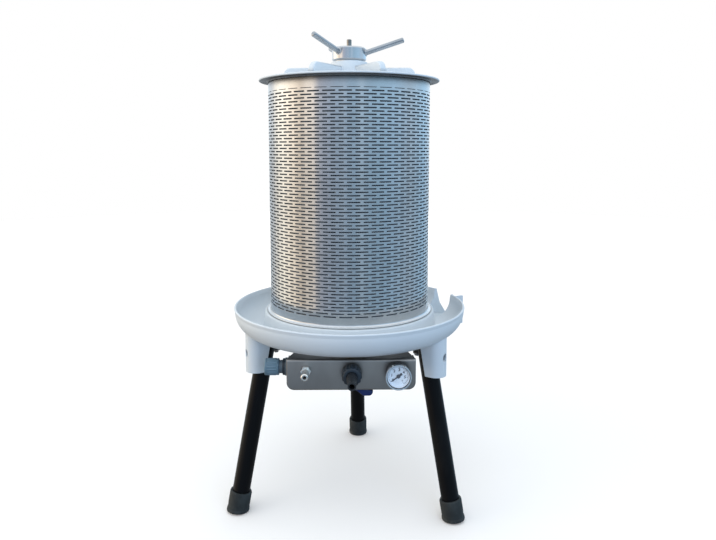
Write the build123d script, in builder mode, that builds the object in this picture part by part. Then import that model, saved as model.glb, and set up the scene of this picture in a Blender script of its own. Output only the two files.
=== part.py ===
from build123d import *

import os
from math import cos, radians, sin, tan

# A basket press on a tripod, worked by a bladder that tap water fills.
# Millimetres. The origin lies on the floor on the press axis, +Z is up and -Y is the front.

# Basket
basket_radius = 165.0
basket_height = 467.0
basket_sheet = 1.2
basket_foot = 7.0
basket_foot_bend = 5.0
slot_length = 47.0
slot_height = 3.0
slot_columns = 17
slot_rows = 14
slot_margin_bottom = 21.0
slot_margin_top = 22.0

# Press cloth
cloth_gap = 0.3
cloth_thickness = 0.6
cloth_floor_gap = 0.8
cloth_top_gap = 2.0

# Tray
seat_height = 393.0
tray_radius = 241.5
tray_draft = 1.5
tray_rim_rise = 10.0
tray_depth = 53.0
tray_wall = 5.0
tray_corner = 45.0
gutter_floor = 12.0
tray_rim_flat = 0.4
plateau_margin = 5.0
plateau_draft = 6.0
plateau_round = 3.0
spout_azimuth = 25.0
spout_width = 64.0
spout_projection = 23.5
spout_fall = 15.0
spout_lip = 9.0
spout_knee = 7.0
spout_knee_drop = 34.0
spout_ear_drop = 5.0

# Legs, their sockets and feet
leg_count = 3
leg_turn = -5.0
leg_spread = 8.5
leg_lean = 11.0
leg_radius = 17.5
leg_wall = 2.0
leg_end_cover = 5.0
socket_half_width = 21.0
socket_cover = 22.5
socket_drop = 64.0
socket_opening = 0.5
socket_clearance = 0.15
foot_radius = 21.0
foot_flare = 1.6
foot_flare_height = 9.0
foot_height = 42.0
foot_sole = 8.0
foot_clearance = 0.1
leg_bolt_radius = 4.0
leg_bolt_drop = 26.0
leg_bolt_head_radius = 6.5
leg_bolt_head_height = 5.0
leg_bolt_slot_height = 16.0
leg_bolt_slot_width = 14.0
leg_bolt_slot_depth = 9.0
leg_nut_radius = 7.5
leg_nut_height = 6.5
leg_bolt_tail = 4.0
bolt_clearance = 0.2
thread_clearance = 0.1

# Spindle, base plate and what hangs from them
spindle_radius = 10.0
spindle_pilot_radius = 5.0
spindle_pilot_length = 17.0
spindle_tip_edge = 1.0
spindle_foot_length = 5.0
spindle_clearance = 0.3
base_plate_radius = 140.0
base_plate_thickness = 5.0
spacer_radius = 18.0
base_washer_radius = 22.0
base_washer_thickness = 3.0
base_nut_across = 30.0
base_nut_height = 16.0

# Core and bladder
core_radius = 52.0
core_wall = 2.0
core_top_gap = 22.0
core_cap_thickness = 6.0
core_hole_radius = 5.0
core_hole_rows = 3
core_hole_columns = 4
bladder_gap = 0.5
bladder_wall = 4.0
bladder_flange_radius = 82.0
bladder_top_hole = 24.0
clamp_ring_gap = 1.0
clamp_ring_thickness = 6.0
clamp_disc_radius = 50.0
clamp_disc_thickness = 5.0
core_nut_across = 30.0
core_nut_height = 10.0
base_bolt_count = 6
base_bolt_radius = 4.0
base_bolt_head_radius = 6.5
base_bolt_head_height = 8.0
base_bolt_nut_radius = 7.5
base_bolt_nut_height = 6.5
base_bolt_tail = 3.0

# Lid
lid_overhang = 19.0
lid_thickness = 6.0
lid_edge_round = 2.5
lid_spigot_clearance = 1.2
lid_spigot_depth = 12.0
lid_spigot_wall = 4.0
lid_rib_count = 6
lid_rib_azimuth = -2.0
lid_rib_width = 14.0
lid_rib_height = 26.0
lid_rib_reach = 140.0
lid_rib_slope = 10.0
lid_hub_radius = 42.0
lid_hub_draft = 4.0
lid_hub_height = 37.0
lid_pocket_radius = 26.0
lid_pocket_depth = 22.0
bush_wall = 4.0
bush_fit = 0.05

# Clamp nut
washer_radius = 30.0
washer_thickness = 2.0
nut_radius = 35.0
nut_height = 27.0
nut_edge = 3.0
arm_count = 3
arm_azimuth = 231.6
arm_radius = 5.4
arm_rise = 17.4
arm_reach = 111.5
arm_depth = 12.0
arm_root_height = 17.0
arm_tip_round = 3.0
arm_fit = 0.05

# Control panel
panel_front = 185.0
panel_centre = 3.0
panel_width = 240.0
panel_height = 58.0
panel_drop = 10.0
panel_sheet = 2.0
panel_bend = 4.0
panel_corner = 14.0
panel_strap_taper = 15.0
panel_strap_overhang = 40.0
panel_strap_corner = 25.0
panel_return_depth = 47.0
panel_return_margin = 4.0
hole_clearance = 0.4

# Manifold and riser
port_drop = 25.0
manifold_setback = 35.0
manifold_radius = 11.0
manifold_bore = 7.5
manifold_margin = 22.0
port_boss_radius = 9.5
port_radius = 6.0
port_depth = 14.0
port_clearance = 0.1
plug_across = 24.0
plug_length = 8.0
riser_radius = 8.0
riser_wall = 1.5
riser_bend = 20.0
riser_run_height = 47.0
riser_circle = 38.0
riser_boss_height = 5.0

# Drain valve, union and hose tail
drain_offset = 1.0
drain_boss_radius = 12.0
drain_boss_height = 1.0
valve_radius = 15.5
valve_shoulder = 8.0
neck_radius = 13.0
neck_length = 16.0
ball_radius = 8.0
ball_bore = 4.5
ball_clearance = 0.3
stem_radius = 3.0
stem_clearance = 0.05
stem_depth = 3.0
bonnet_radius = 8.0
bonnet_length = 10.0
lever_gap = 1.5
lever_hub_radius = 8.0
lever_hub_height = 10.0
lever_drop = 11.5
lever_reach = 40.0
lever_width = 10.0
lever_tip_height = 10.0
lever_knee = 24.0
lever_round = 2.5
lever_fit = 0.05
lever_screw_radius = 4.5
lever_screw_height = 2.5
lever_screw_edge = 1.2
gasket_thickness = 2.0
tail_flange_radius = 12.6
tail_flange_thickness = 3.0
tail_radius = 10.0
tail_bore = 5.0
tail_plain = 18.0
tail_barb_count = 3
tail_barb_pitch = 7.0
tail_barb_rise = 0.8
tail_nose_radius = 7.5
tail_nose_length = 12.0
slip_ring_thickness = 1.5
union_radius = 17.3
union_rib_count = 14
union_rib_width = 4.0
union_rib_height = 1.4
union_gap = 2.0
union_front_wall = 4.0
union_clearance = 0.4

# Relief valve
relief_offset = -84.0
relief_rise = 4.5
relief_hex_across = 17.0
relief_hex_length = 8.0
relief_radius = 6.8
relief_length = 39.0
relief_edge = 1.5
relief_outlet = 3.3
relief_chamber = 5.6
relief_end_wall = 3.0
relief_seat_depth = 6.0
relief_tail = 10.0
relief_passage = 2.5
poppet_radius = 5.1
poppet_thickness = 4.0
poppet_guide_radius = 2.0
poppet_guide_length = 8.0
spring_wire = 0.7
spring_turns = 5
spring_gap = 0.3

# Gauge
gauge_offset = 86.0
gauge_collar_radius = 8.0
gauge_collar_length = 2.0
gauge_radius = 22.2
gauge_depth = 24.0
gauge_wall = 1.8
bezel_wall = 1.2
bezel_overlap = 5.0
bezel_lip_width = 0.8
bezel_lip = 1.2
bezel_gap = 0.1
window_thickness = 2.0
dial_depth = 7.0
dial_thickness = 1.0
dial_gap = 0.1
pointer_gap = 1.2
pointer_thickness = 0.8
pointer_length = 16.5
pointer_tail = 10.0
pointer_width = 2.2
pointer_hub_radius = 3.0
pointer_pin_radius = 1.0
pointer_pin_length = 5.0
pointer_pin_clearance = 0.05
pointer_zero = 225.0

# Inlet coupling
inlet_flange_radius = 17.0
inlet_flange_length = 5.0
inlet_thread_radius = 10.0
inlet_body_radius = 12.5
inlet_length = 39.0
inlet_bore = 8.6
inlet_bore_depth = 24.0
sleeve_radius = 15.0
sleeve_rib_height = 1.2
sleeve_rib_width = 2.4
sleeve_rib_count = 18
sleeve_length = 27.0
sleeve_clearance = 0.35

# Heights that follow from the sizes above
tray_bottom = seat_height + tray_rim_rise - tray_depth
rim_height = seat_height + tray_rim_rise
basket_top = seat_height + basket_height
lid_top = basket_top + lid_thickness
hub_top = lid_top + lid_hub_height
nut_bottom = hub_top + washer_thickness
nut_top = nut_bottom + nut_height
plateau_radius = basket_radius + basket_foot + plateau_margin
lid_radius = basket_radius + lid_overhang
base_plate_bottom = seat_height - tray_wall - base_plate_thickness
panel_top = tray_bottom - panel_drop
panel_bottom = panel_top - panel_height
port_height = panel_top - port_drop
relief_height = port_height + relief_rise
base_nut_top = panel_top - panel_sheet - base_washer_thickness
core_top = basket_top - core_top_gap
bladder_radius = core_radius + bladder_gap + bladder_wall
bladder_top = core_top + core_cap_thickness + bladder_wall
clamp_ring_inner = bladder_radius + clamp_ring_gap
base_bolt_circle = (clamp_ring_inner + bladder_flange_radius) / 2
clamp_ring_top = seat_height + bladder_wall + clamp_ring_thickness
clamp_disc_top = bladder_top + clamp_disc_thickness
bore_radius = spindle_radius + spindle_clearance
leg_bolt_height = tray_bottom - leg_bolt_drop
leg_slope = tan(radians(leg_lean))
leg_circle = tray_radius + leg_spread
leg_axis_at_bolt = leg_circle - leg_slope * leg_bolt_height
socket_reach = leg_axis_at_bolt + leg_radius + socket_cover
spout_reach = tray_radius + spout_projection
leg_azimuths = {
    "rear": 90 + leg_turn,
    "front_left": 90 + leg_turn + 360 / leg_count,
    "front_right": 90 + leg_turn + 720 / leg_count,
}
panel_back = panel_front - panel_sheet
manifold_y = -(panel_front - manifold_setback)
drain_x = panel_centre + drain_offset
relief_x = panel_centre + relief_offset
gauge_x = panel_centre + gauge_offset
panel_left = panel_centre - panel_width / 2
panel_right = panel_centre + panel_width / 2
manifold_left = panel_left + panel_return_margin + panel_sheet
manifold_right = panel_right - manifold_margin
valve_back = manifold_radius + drain_boss_height - manifold_setback


def save(piece, name):
    """Label a finished piece and write its file."""
    piece.part.label = name
    export_step(piece.part, f"parts/{name}.step")


def profile(axis, outline):
    """Closed outline of (distance along the axis, radius) points, ready to turn about the axis."""
    across = Plane(axis.position, z_dir=axis.direction).x_dir
    with BuildSketch(Plane(axis.position, x_dir=axis.direction, z_dir=across)) as half:
        with BuildLine():
            Polyline(*outline, close=True)
        make_face()
    return half.sketch


def radial_plane(azimuth):
    """Upright plane through the press axis: x is the radius and y the height."""
    angle = radians(azimuth)
    return Plane((0, 0, 0), x_dir=(cos(angle), sin(angle), 0), z_dir=(sin(angle), -cos(angle), 0))


def outward_plane(azimuth, radius, height):
    """Upright plane that faces away from the press axis: y is up."""
    angle = radians(azimuth)
    outward = (cos(angle), sin(angle), 0)
    return Plane(
        (radius * cos(angle), radius * sin(angle), height),
        x_dir=(-sin(angle), cos(angle), 0),
        z_dir=outward,
    )


def leg_plane(azimuth):
    """Plane on the floor end of a leg's axis, square to it: x points away from the press axis."""
    angle = radians(azimuth)
    lean = radians(leg_lean)
    return Plane(
        (leg_circle * cos(angle), leg_circle * sin(angle), 0),
        x_dir=(cos(lean) * cos(angle), cos(lean) * sin(angle), sin(lean)),
        z_dir=(-sin(lean) * cos(angle), -sin(lean) * sin(angle), cos(lean)),
    )


def front_plane(x, distance, height=port_height):
    """Upright plane that faces the front, this far in front of the panel."""
    return Plane((x, -panel_front - distance, height), x_dir=(1, 0, 0), z_dir=(0, -1, 0))


def hexagon_radius(across_flats):
    """Corner radius of a hexagon."""
    return across_flats / 2 / cos(radians(30))


spindle_axis = Axis((0, 0, 0), (0, 0, 1))
drain_axis = Axis((drain_x, -panel_front, port_height), (0, -1, 0))
relief_axis = Axis((relief_x, -panel_front, relief_height), (0, -1, 0))
gauge_axis = Axis((gauge_x, -panel_front, port_height), (0, -1, 0))
inlet_axis = Axis((panel_left, manifold_y, port_height), (-1, 0, 0))
leg_length = (tray_bottom - leg_end_cover) / cos(radians(leg_lean))
foot_reach = foot_sole / cos(radians(leg_lean))


# Tray: moulded dish with gutter, raised seat, spout and leg sockets
wall_radius = tray_radius - tray_draft
plateau_foot = plateau_radius + plateau_draft
corner_radius = min(tray_corner, wall_radius - plateau_foot - gutter_floor)
corner_centre = (wall_radius - corner_radius, tray_bottom + corner_radius)
socket_arc_centre = socket_reach - socket_half_width
spout_start = (plateau_foot + corner_centre[0]) / 2
lip_bottom = tray_bottom - spout_fall
rim_round = (tray_wall - tray_rim_flat) / 2
inner_rim = tray_radius - tray_wall

with BuildPart() as tray:
    with BuildSketch(Plane.XZ):
        with BuildLine():
            Line((0, rim_height), (0, tray_bottom))
            Line((0, tray_bottom), (corner_centre[0], tray_bottom))
            CenterArc(corner_centre, corner_radius, 270, 90)
            Line((wall_radius, corner_centre[1]), (tray_radius, rim_height - rim_round))
            CenterArc((tray_radius - rim_round, rim_height - rim_round), rim_round, 0, 90)
            Line((tray_radius - rim_round, rim_height), (0, rim_height))
        make_face()
    revolve(axis=Axis.Z)
    with BuildSketch(radial_plane(spout_azimuth)):
        with BuildLine():
            Polyline(
                (spout_start, tray_bottom),
                (spout_reach, lip_bottom),
                (spout_reach, lip_bottom + spout_lip),
                (tray_radius + spout_knee, rim_height - spout_knee_drop),
                (tray_radius - rim_round, rim_height),
                (spout_start, rim_height),
                close=True,
            )
        make_face()
    extrude(amount=spout_width / 2 + tray_wall, both=True)
    with BuildSketch(radial_plane(spout_azimuth).offset(spout_width / 2)):
        with BuildLine():
            ear_top = rim_height - spout_ear_drop
            Polyline(
                (corner_centre[0], lip_bottom),
                (spout_reach, lip_bottom),
                (spout_reach, ear_top),
                (corner_centre[0], ear_top),
                close=True,
            )
        make_face()
    extrude(amount=tray_wall)
    for azimuth in leg_azimuths.values():
        spoke = radial_plane(azimuth).x_dir
        with BuildSketch(Plane((0, 0, tray_bottom - socket_drop), x_dir=spoke, z_dir=(0, 0, 1))):
            with BuildLine():
                inner = leg_circle - leg_slope * tray_bottom - socket_opening
                Line((inner, -socket_half_width), (socket_arc_centre, -socket_half_width))
                CenterArc((socket_arc_centre, 0), socket_half_width, -90, 180)
                Line((socket_arc_centre, socket_half_width), (inner, socket_half_width))
                Line((inner, socket_half_width), (inner, -socket_half_width))
            make_face()
        extrude(amount=socket_drop + corner_radius)
    with BuildSketch(Plane.XZ) as gutter:
        with BuildLine():
            floor = tray_bottom + tray_wall
            Line((0, rim_height), (0, seat_height))
            Line((0, seat_height), (plateau_radius, seat_height))
            Line((plateau_radius, seat_height), (plateau_foot, floor))
            Line((plateau_foot, floor), (corner_centre[0], floor))
            CenterArc(corner_centre, corner_radius - tray_wall, 270, 90)
            Line((wall_radius - tray_wall, corner_centre[1]), (inner_rim, rim_height - rim_round))
            CenterArc((inner_rim + rim_round, rim_height - rim_round), rim_round, 180, -90)
            Line((inner_rim + rim_round, rim_height), (0, rim_height))
        make_face()
        corners = gutter.vertices()
        fillet(corners.sort_by_distance((plateau_radius, seat_height))[0], plateau_round)
    revolve(axis=Axis.Z, mode=Mode.SUBTRACT)
    with BuildSketch(Plane.XZ):
        with BuildLine():
            Polyline(
                (0, tray_bottom),
                (plateau_foot - tray_wall, tray_bottom),
                (plateau_radius - tray_wall, seat_height - tray_wall),
                (0, seat_height - tray_wall),
                close=True,
            )
        make_face()
    revolve(axis=Axis.Z, mode=Mode.SUBTRACT)
    with BuildSketch(radial_plane(spout_azimuth)):
        with BuildLine():
            Polyline(
                (spout_start, tray_bottom + tray_wall),
                (spout_reach, lip_bottom + tray_wall),
                (spout_reach, rim_height),
                (spout_start, rim_height),
                close=True,
            )
        make_face()
    extrude(amount=spout_width / 2, both=True, mode=Mode.SUBTRACT)
    for azimuth in leg_azimuths.values():
        with BuildSketch(leg_plane(azimuth)):
            Circle(leg_radius + socket_clearance)
        extrude(amount=leg_length, mode=Mode.SUBTRACT)
        with BuildSketch(leg_plane(azimuth)):
            with Locations((-socket_opening, 0)):
                Rectangle(socket_reach, socket_reach, align=(Align.MAX, Align.CENTER))
        extrude(amount=leg_length, mode=Mode.SUBTRACT)
        with BuildSketch(outward_plane(azimuth, leg_axis_at_bolt, leg_bolt_height)):
            Circle(leg_bolt_radius + bolt_clearance)
        extrude(amount=leg_radius + socket_cover, mode=Mode.SUBTRACT)
        with BuildSketch(outward_plane(azimuth, socket_reach - leg_bolt_slot_depth, leg_bolt_height)):
            SlotOverall(leg_bolt_slot_height, leg_bolt_slot_width, rotation=90)
        extrude(amount=leg_bolt_slot_depth, mode=Mode.SUBTRACT)
    with BuildSketch(Plane.XY.offset(seat_height)):
        Circle(bore_radius)
        with PolarLocations(base_bolt_circle, base_bolt_count):
            Circle(base_bolt_radius + bolt_clearance)
        with Locations((drain_x, -riser_circle)):
            Circle(riser_radius + hole_clearance)
    extrude(amount=-tray_wall, mode=Mode.SUBTRACT)
save(tray, "tray")

# Legs, feet and the bolts that hold the legs in their sockets
for name, azimuth in leg_azimuths.items():
    with BuildPart() as leg:
        with BuildSketch(leg_plane(azimuth).offset(foot_reach)):
            Circle(leg_radius)
            Circle(leg_radius - leg_wall, mode=Mode.SUBTRACT)
        extrude(amount=leg_length - foot_reach)
        with BuildSketch(outward_plane(azimuth, 0, leg_bolt_height)):
            Circle(leg_bolt_radius + bolt_clearance)
        extrude(amount=leg_circle, mode=Mode.SUBTRACT)
    save(leg, f"leg_{name}")

    with BuildPart() as foot:
        flare_start = foot_flare_height / cos(radians(leg_lean))
        foot_top = foot_height / cos(radians(leg_lean))
        leg_axis = Axis(leg_plane(azimuth).origin, leg_plane(azimuth).z_dir)
        outline = [
            (-foot_radius, 0),
            (-foot_radius, foot_radius + foot_flare),
            (0, foot_radius + foot_flare),
            (flare_start, foot_radius),
            (foot_top, foot_radius - foot_flare),
            (foot_top, leg_radius + foot_clearance),
            (foot_reach, leg_radius + foot_clearance),
            (foot_reach, 0),
        ]
        revolve(profile(leg_axis, outline), axis=leg_axis)
        split(bisect_by=Plane.XY, keep=Keep.TOP)
    save(foot, f"foot_{name}")

bolt_seat = socket_reach - leg_bolt_slot_depth
nut_seat = leg_axis_at_bolt - leg_radius / cos(radians(leg_lean)) - leg_nut_radius * leg_slope

with BuildPart() as leg_bolts:
    for azimuth in leg_azimuths.values():
        with BuildSketch(outward_plane(azimuth, bolt_seat, leg_bolt_height)):
            RegularPolygon(leg_bolt_head_radius, 6)
        extrude(amount=leg_bolt_head_height)
        with BuildSketch(outward_plane(azimuth, bolt_seat, leg_bolt_height)):
            Circle(leg_bolt_radius)
        extrude(amount=-(bolt_seat - nut_seat + leg_nut_height + leg_bolt_tail))
save(leg_bolts, "leg_bolts")

with BuildPart() as leg_nuts:
    for azimuth in leg_azimuths.values():
        with BuildSketch(outward_plane(azimuth, nut_seat, leg_bolt_height)):
            RegularPolygon(leg_nut_radius, 6)
            Circle(leg_bolt_radius + thread_clearance, mode=Mode.SUBTRACT)
        extrude(amount=-leg_nut_height)
save(leg_nuts, "leg_nuts")

# Base plate under the seat, and the spindle with the stack that hangs from it
with BuildPart() as base_plate:
    with BuildSketch(Plane.XY.offset(base_plate_bottom)):
        Circle(base_plate_radius)
        Circle(bore_radius, mode=Mode.SUBTRACT)
        with PolarLocations(base_bolt_circle, base_bolt_count):
            Circle(base_bolt_radius + bolt_clearance, mode=Mode.SUBTRACT)
        with Locations((drain_x, -riser_circle)):
            Circle(riser_radius + hole_clearance, mode=Mode.SUBTRACT)
    extrude(amount=base_plate_thickness)
save(base_plate, "base_plate")

with BuildPart() as spindle:
    spindle_bottom = base_nut_top - base_nut_height - spindle_foot_length
    outline = [
        (spindle_bottom, 0),
        (spindle_bottom, spindle_radius),
        (nut_top, spindle_radius),
        (nut_top, spindle_pilot_radius),
        (nut_top + spindle_pilot_length, spindle_pilot_radius),
        (nut_top + spindle_pilot_length, 0),
    ]
    revolve(profile(spindle_axis, outline), axis=spindle_axis)
    chamfer(spindle.edges().group_by(Axis.Z)[-1], spindle_tip_edge)
save(spindle, "spindle")

with BuildPart() as base_spacer:
    with BuildSketch(Plane.XY.offset(panel_top)):
        Circle(spacer_radius)
        Circle(bore_radius, mode=Mode.SUBTRACT)
    extrude(amount=base_plate_bottom - panel_top)
save(base_spacer, "base_spacer")

with BuildPart() as base_washer:
    with BuildSketch(Plane.XY.offset(base_nut_top)):
        Circle(base_washer_radius)
        Circle(bore_radius, mode=Mode.SUBTRACT)
    extrude(amount=base_washer_thickness)
save(base_washer, "base_washer")

with BuildPart() as base_nut:
    with BuildSketch(Plane.XY.offset(base_nut_top)):
        RegularPolygon(hexagon_radius(base_nut_across), 6)
        Circle(spindle_radius + thread_clearance, mode=Mode.SUBTRACT)
    extrude(amount=-base_nut_height)
save(base_nut, "base_nut")

# Core tube with the bladder round it, clamped at both ends
with BuildPart() as core_tube:
    with BuildSketch(Plane.XY.offset(seat_height)):
        Circle(core_radius)
        Circle(core_radius - core_wall, mode=Mode.SUBTRACT)
    extrude(amount=core_top - seat_height)
    row_pitch = (core_top - seat_height) / (core_hole_rows + 1)
    for column in range(core_hole_columns):
        for row in range(core_hole_rows):
            hole_height = seat_height + (row + 1) * row_pitch
            with BuildSketch(outward_plane(column * 360 / core_hole_columns, 0, hole_height)):
                Circle(core_hole_radius)
    extrude(amount=core_radius + core_wall, mode=Mode.SUBTRACT)
save(core_tube, "core_tube")

with BuildPart() as core_cap:
    with BuildSketch(Plane.XY.offset(core_top)):
        Circle(core_radius)
        Circle(bore_radius, mode=Mode.SUBTRACT)
    extrude(amount=core_cap_thickness)
save(core_cap, "core_cap")

with BuildPart() as bladder:
    outline = [
        (seat_height, core_radius + bladder_gap),
        (seat_height, bladder_flange_radius),
        (seat_height + bladder_wall, bladder_flange_radius),
        (seat_height + bladder_wall, bladder_radius),
        (bladder_top, bladder_radius),
        (bladder_top, bladder_top_hole),
        (bladder_top - bladder_wall, bladder_top_hole),
        (bladder_top - bladder_wall, core_radius + bladder_gap),
    ]
    revolve(profile(spindle_axis, outline), axis=spindle_axis)
    with BuildSketch(Plane.XY.offset(seat_height)):
        with PolarLocations(base_bolt_circle, base_bolt_count):
            Circle(base_bolt_radius + bolt_clearance)
    extrude(amount=bladder_wall, mode=Mode.SUBTRACT)
    shoulder = bladder.edges().filter_by(GeomType.CIRCLE).group_by(Axis.Z)[-1].sort_by(SortBy.RADIUS)[-1]
    fillet(shoulder, bladder_wall)
save(bladder, "bladder")

with BuildPart() as bladder_clamp_ring:
    with BuildSketch(Plane.XY.offset(seat_height + bladder_wall)):
        Circle(bladder_flange_radius)
        Circle(clamp_ring_inner, mode=Mode.SUBTRACT)
        with PolarLocations(base_bolt_circle, base_bolt_count):
            Circle(base_bolt_radius + bolt_clearance, mode=Mode.SUBTRACT)
    extrude(amount=clamp_ring_thickness)
save(bladder_clamp_ring, "bladder_clamp_ring")

with BuildPart() as bladder_clamp_disc:
    with BuildSketch(Plane.XY.offset(bladder_top)):
        Circle(clamp_disc_radius)
        Circle(bore_radius, mode=Mode.SUBTRACT)
    extrude(amount=clamp_disc_thickness)
save(bladder_clamp_disc, "bladder_clamp_disc")

with BuildPart() as core_nut:
    with BuildSketch(Plane.XY.offset(clamp_disc_top)):
        RegularPolygon(hexagon_radius(core_nut_across), 6)
        Circle(spindle_radius + thread_clearance, mode=Mode.SUBTRACT)
    extrude(amount=core_nut_height)
save(core_nut, "core_nut")

with BuildPart() as base_bolts:
    bolt_end = base_plate_bottom - base_bolt_nut_height - base_bolt_tail
    with BuildSketch(Plane.XY.offset(clamp_ring_top)):
        with PolarLocations(base_bolt_circle, base_bolt_count):
            Circle(base_bolt_head_radius)
    extrude(amount=base_bolt_head_height)
    with BuildSketch(Plane.XY.offset(clamp_ring_top)):
        with PolarLocations(base_bolt_circle, base_bolt_count):
            Circle(base_bolt_radius)
    extrude(amount=bolt_end - clamp_ring_top)
save(base_bolts, "base_bolts")

with BuildPart() as base_bolt_nuts:
    with BuildSketch(Plane.XY.offset(base_plate_bottom)):
        with PolarLocations(base_bolt_circle, base_bolt_count):
            RegularPolygon(base_bolt_nut_radius, 6)
            Circle(base_bolt_radius + thread_clearance, mode=Mode.SUBTRACT)
    extrude(amount=-base_bolt_nut_height)
save(base_bolt_nuts, "base_bolt_nuts")

# Basket: rolled sheet with staggered rows of slots and a turned-out foot
with BuildPart() as basket:
    bend_centre = (basket_radius + basket_foot_bend, seat_height + basket_sheet + basket_foot_bend)
    with BuildSketch(Plane.XZ):
        with BuildLine():
            inner_radius = basket_radius - basket_sheet
            foot_edge = basket_radius + basket_foot
            Line((inner_radius, bend_centre[1]), (inner_radius, basket_top))
            Line((inner_radius, basket_top), (basket_radius, basket_top))
            Line((basket_radius, basket_top), (basket_radius, bend_centre[1]))
            CenterArc(bend_centre, basket_foot_bend, 180, 90)
            Line((bend_centre[0], seat_height + basket_sheet), (foot_edge, seat_height + basket_sheet))
            Line((foot_edge, seat_height + basket_sheet), (foot_edge, seat_height))
            Line((foot_edge, seat_height), (bend_centre[0], seat_height))
            CenterArc(bend_centre, basket_foot_bend + basket_sheet, 180, 90)
        make_face()
    revolve(axis=Axis.Z)
    slot_pitch = (basket_height - slot_margin_bottom - slot_margin_top) / slot_rows
    for step in range(slot_columns * 2):
        slot_azimuth = step * 180 / slot_columns
        with BuildSketch(outward_plane(slot_azimuth, basket_radius - slot_length / 2, 0)):
            for row in range(step % 2, slot_rows, 2):
                height = seat_height + slot_margin_bottom + (row + 0.5) * slot_pitch
                with Locations((0, height)):
                    Rectangle(slot_length, slot_height)
    extrude(amount=slot_length, mode=Mode.SUBTRACT)
save(basket, "basket")

# Press cloth that lines the basket, up to the lid's spigot
with BuildPart() as press_cloth:
    cloth_radius = basket_radius - basket_sheet - cloth_gap
    cloth_bottom = seat_height + cloth_floor_gap
    with BuildSketch(Plane.XY.offset(cloth_bottom)):
        Circle(cloth_radius)
        Circle(cloth_radius - cloth_thickness, mode=Mode.SUBTRACT)
    extrude(amount=basket_top - lid_spigot_depth - cloth_top_gap - cloth_bottom)
save(press_cloth, "press_cloth")

# Lid with radial ribs and a hub
with BuildPart() as lid:
    spigot_radius = basket_radius - basket_sheet - lid_spigot_clearance
    spigot_bottom = basket_top - lid_spigot_depth
    pocket_top = basket_top + lid_pocket_depth
    outline = [
        (pocket_top, 0),
        (pocket_top, lid_pocket_radius),
        (basket_top, lid_pocket_radius),
        (basket_top, spigot_radius - lid_spigot_wall),
        (spigot_bottom, spigot_radius - lid_spigot_wall),
        (spigot_bottom, spigot_radius),
        (basket_top, spigot_radius),
        (basket_top, lid_radius),
        (lid_top, lid_radius),
        (lid_top, lid_hub_radius),
        (hub_top, lid_hub_radius - lid_hub_draft),
        (hub_top, 0),
    ]
    revolve(profile(spindle_axis, outline), axis=spindle_axis)
    flange_edges = lid.edges().filter_by(GeomType.CIRCLE).sort_by(SortBy.RADIUS)[-2:]
    fillet(flange_edges, lid_edge_round)
    for rib in range(lid_rib_count):
        with BuildSketch(radial_plane(lid_rib_azimuth + rib * 360 / lid_rib_count)):
            with BuildLine():
                Polyline(
                    (lid_pocket_radius + lid_hub_draft, lid_top),
                    (lid_rib_reach, lid_top),
                    (lid_rib_reach - lid_rib_slope, lid_top + lid_rib_height),
                    (lid_pocket_radius + lid_hub_draft, lid_top + lid_rib_height),
                    close=True,
                )
            make_face()
        extrude(amount=lid_rib_width / 2, both=True)
    with BuildSketch(Plane.XY.offset(hub_top)):
        Circle(bore_radius + bush_wall + bush_fit)
    extrude(amount=pocket_top - hub_top, mode=Mode.SUBTRACT)
save(lid, "lid")

with BuildPart() as lid_bush:
    with BuildSketch(Plane.XY.offset(pocket_top)):
        Circle(bore_radius + bush_wall)
        Circle(bore_radius, mode=Mode.SUBTRACT)
    extrude(amount=hub_top - pocket_top)
save(lid_bush, "lid_bush")

# Clamp nut on its thrust washer, with three rising arms
with BuildPart() as thrust_washer:
    with BuildSketch(Plane.XY.offset(hub_top)):
        Circle(washer_radius)
        Circle(bore_radius, mode=Mode.SUBTRACT)
    extrude(amount=washer_thickness)
save(thrust_washer, "thrust_washer")


def arm_plane(index):
    """Plane at the inner end of an arm, square to the arm."""
    angle = radians(arm_azimuth + index * 360 / arm_count)
    rise = radians(arm_rise)
    start = nut_radius - arm_depth
    return Plane(
        (
            start * cos(angle),
            start * sin(angle),
            nut_bottom + arm_root_height - arm_depth * tan(rise),
        ),
        x_dir=(-sin(angle), cos(angle), 0),
        z_dir=(cos(rise) * cos(angle), cos(rise) * sin(angle), sin(rise)),
    )


arm_length = (arm_reach - nut_radius + arm_depth) / cos(radians(arm_rise))

with BuildPart() as clamp_nut:
    with BuildSketch(Plane.XY.offset(nut_bottom)):
        Circle(nut_radius)
    extrude(amount=nut_height)
    chamfer(clamp_nut.edges().filter_by(GeomType.CIRCLE), nut_edge)
    with BuildSketch(Plane.XY.offset(nut_bottom)):
        Circle(bore_radius)
    extrude(amount=nut_height, mode=Mode.SUBTRACT)
    for index in range(arm_count):
        with BuildSketch(arm_plane(index)):
            Circle(arm_radius + arm_fit)
    extrude(amount=arm_length, mode=Mode.SUBTRACT)
save(clamp_nut, "clamp_nut")

with BuildPart() as clamp_arms:
    for index in range(arm_count):
        with BuildSketch(arm_plane(index)):
            Circle(arm_radius)
    extrude(amount=arm_length)
    tips = [solid.edges().sort_by(Axis.Z)[-1] for solid in clamp_arms.solids()]
    fillet(tips, arm_tip_round)
save(clamp_arms, "clamp_arms")

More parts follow.
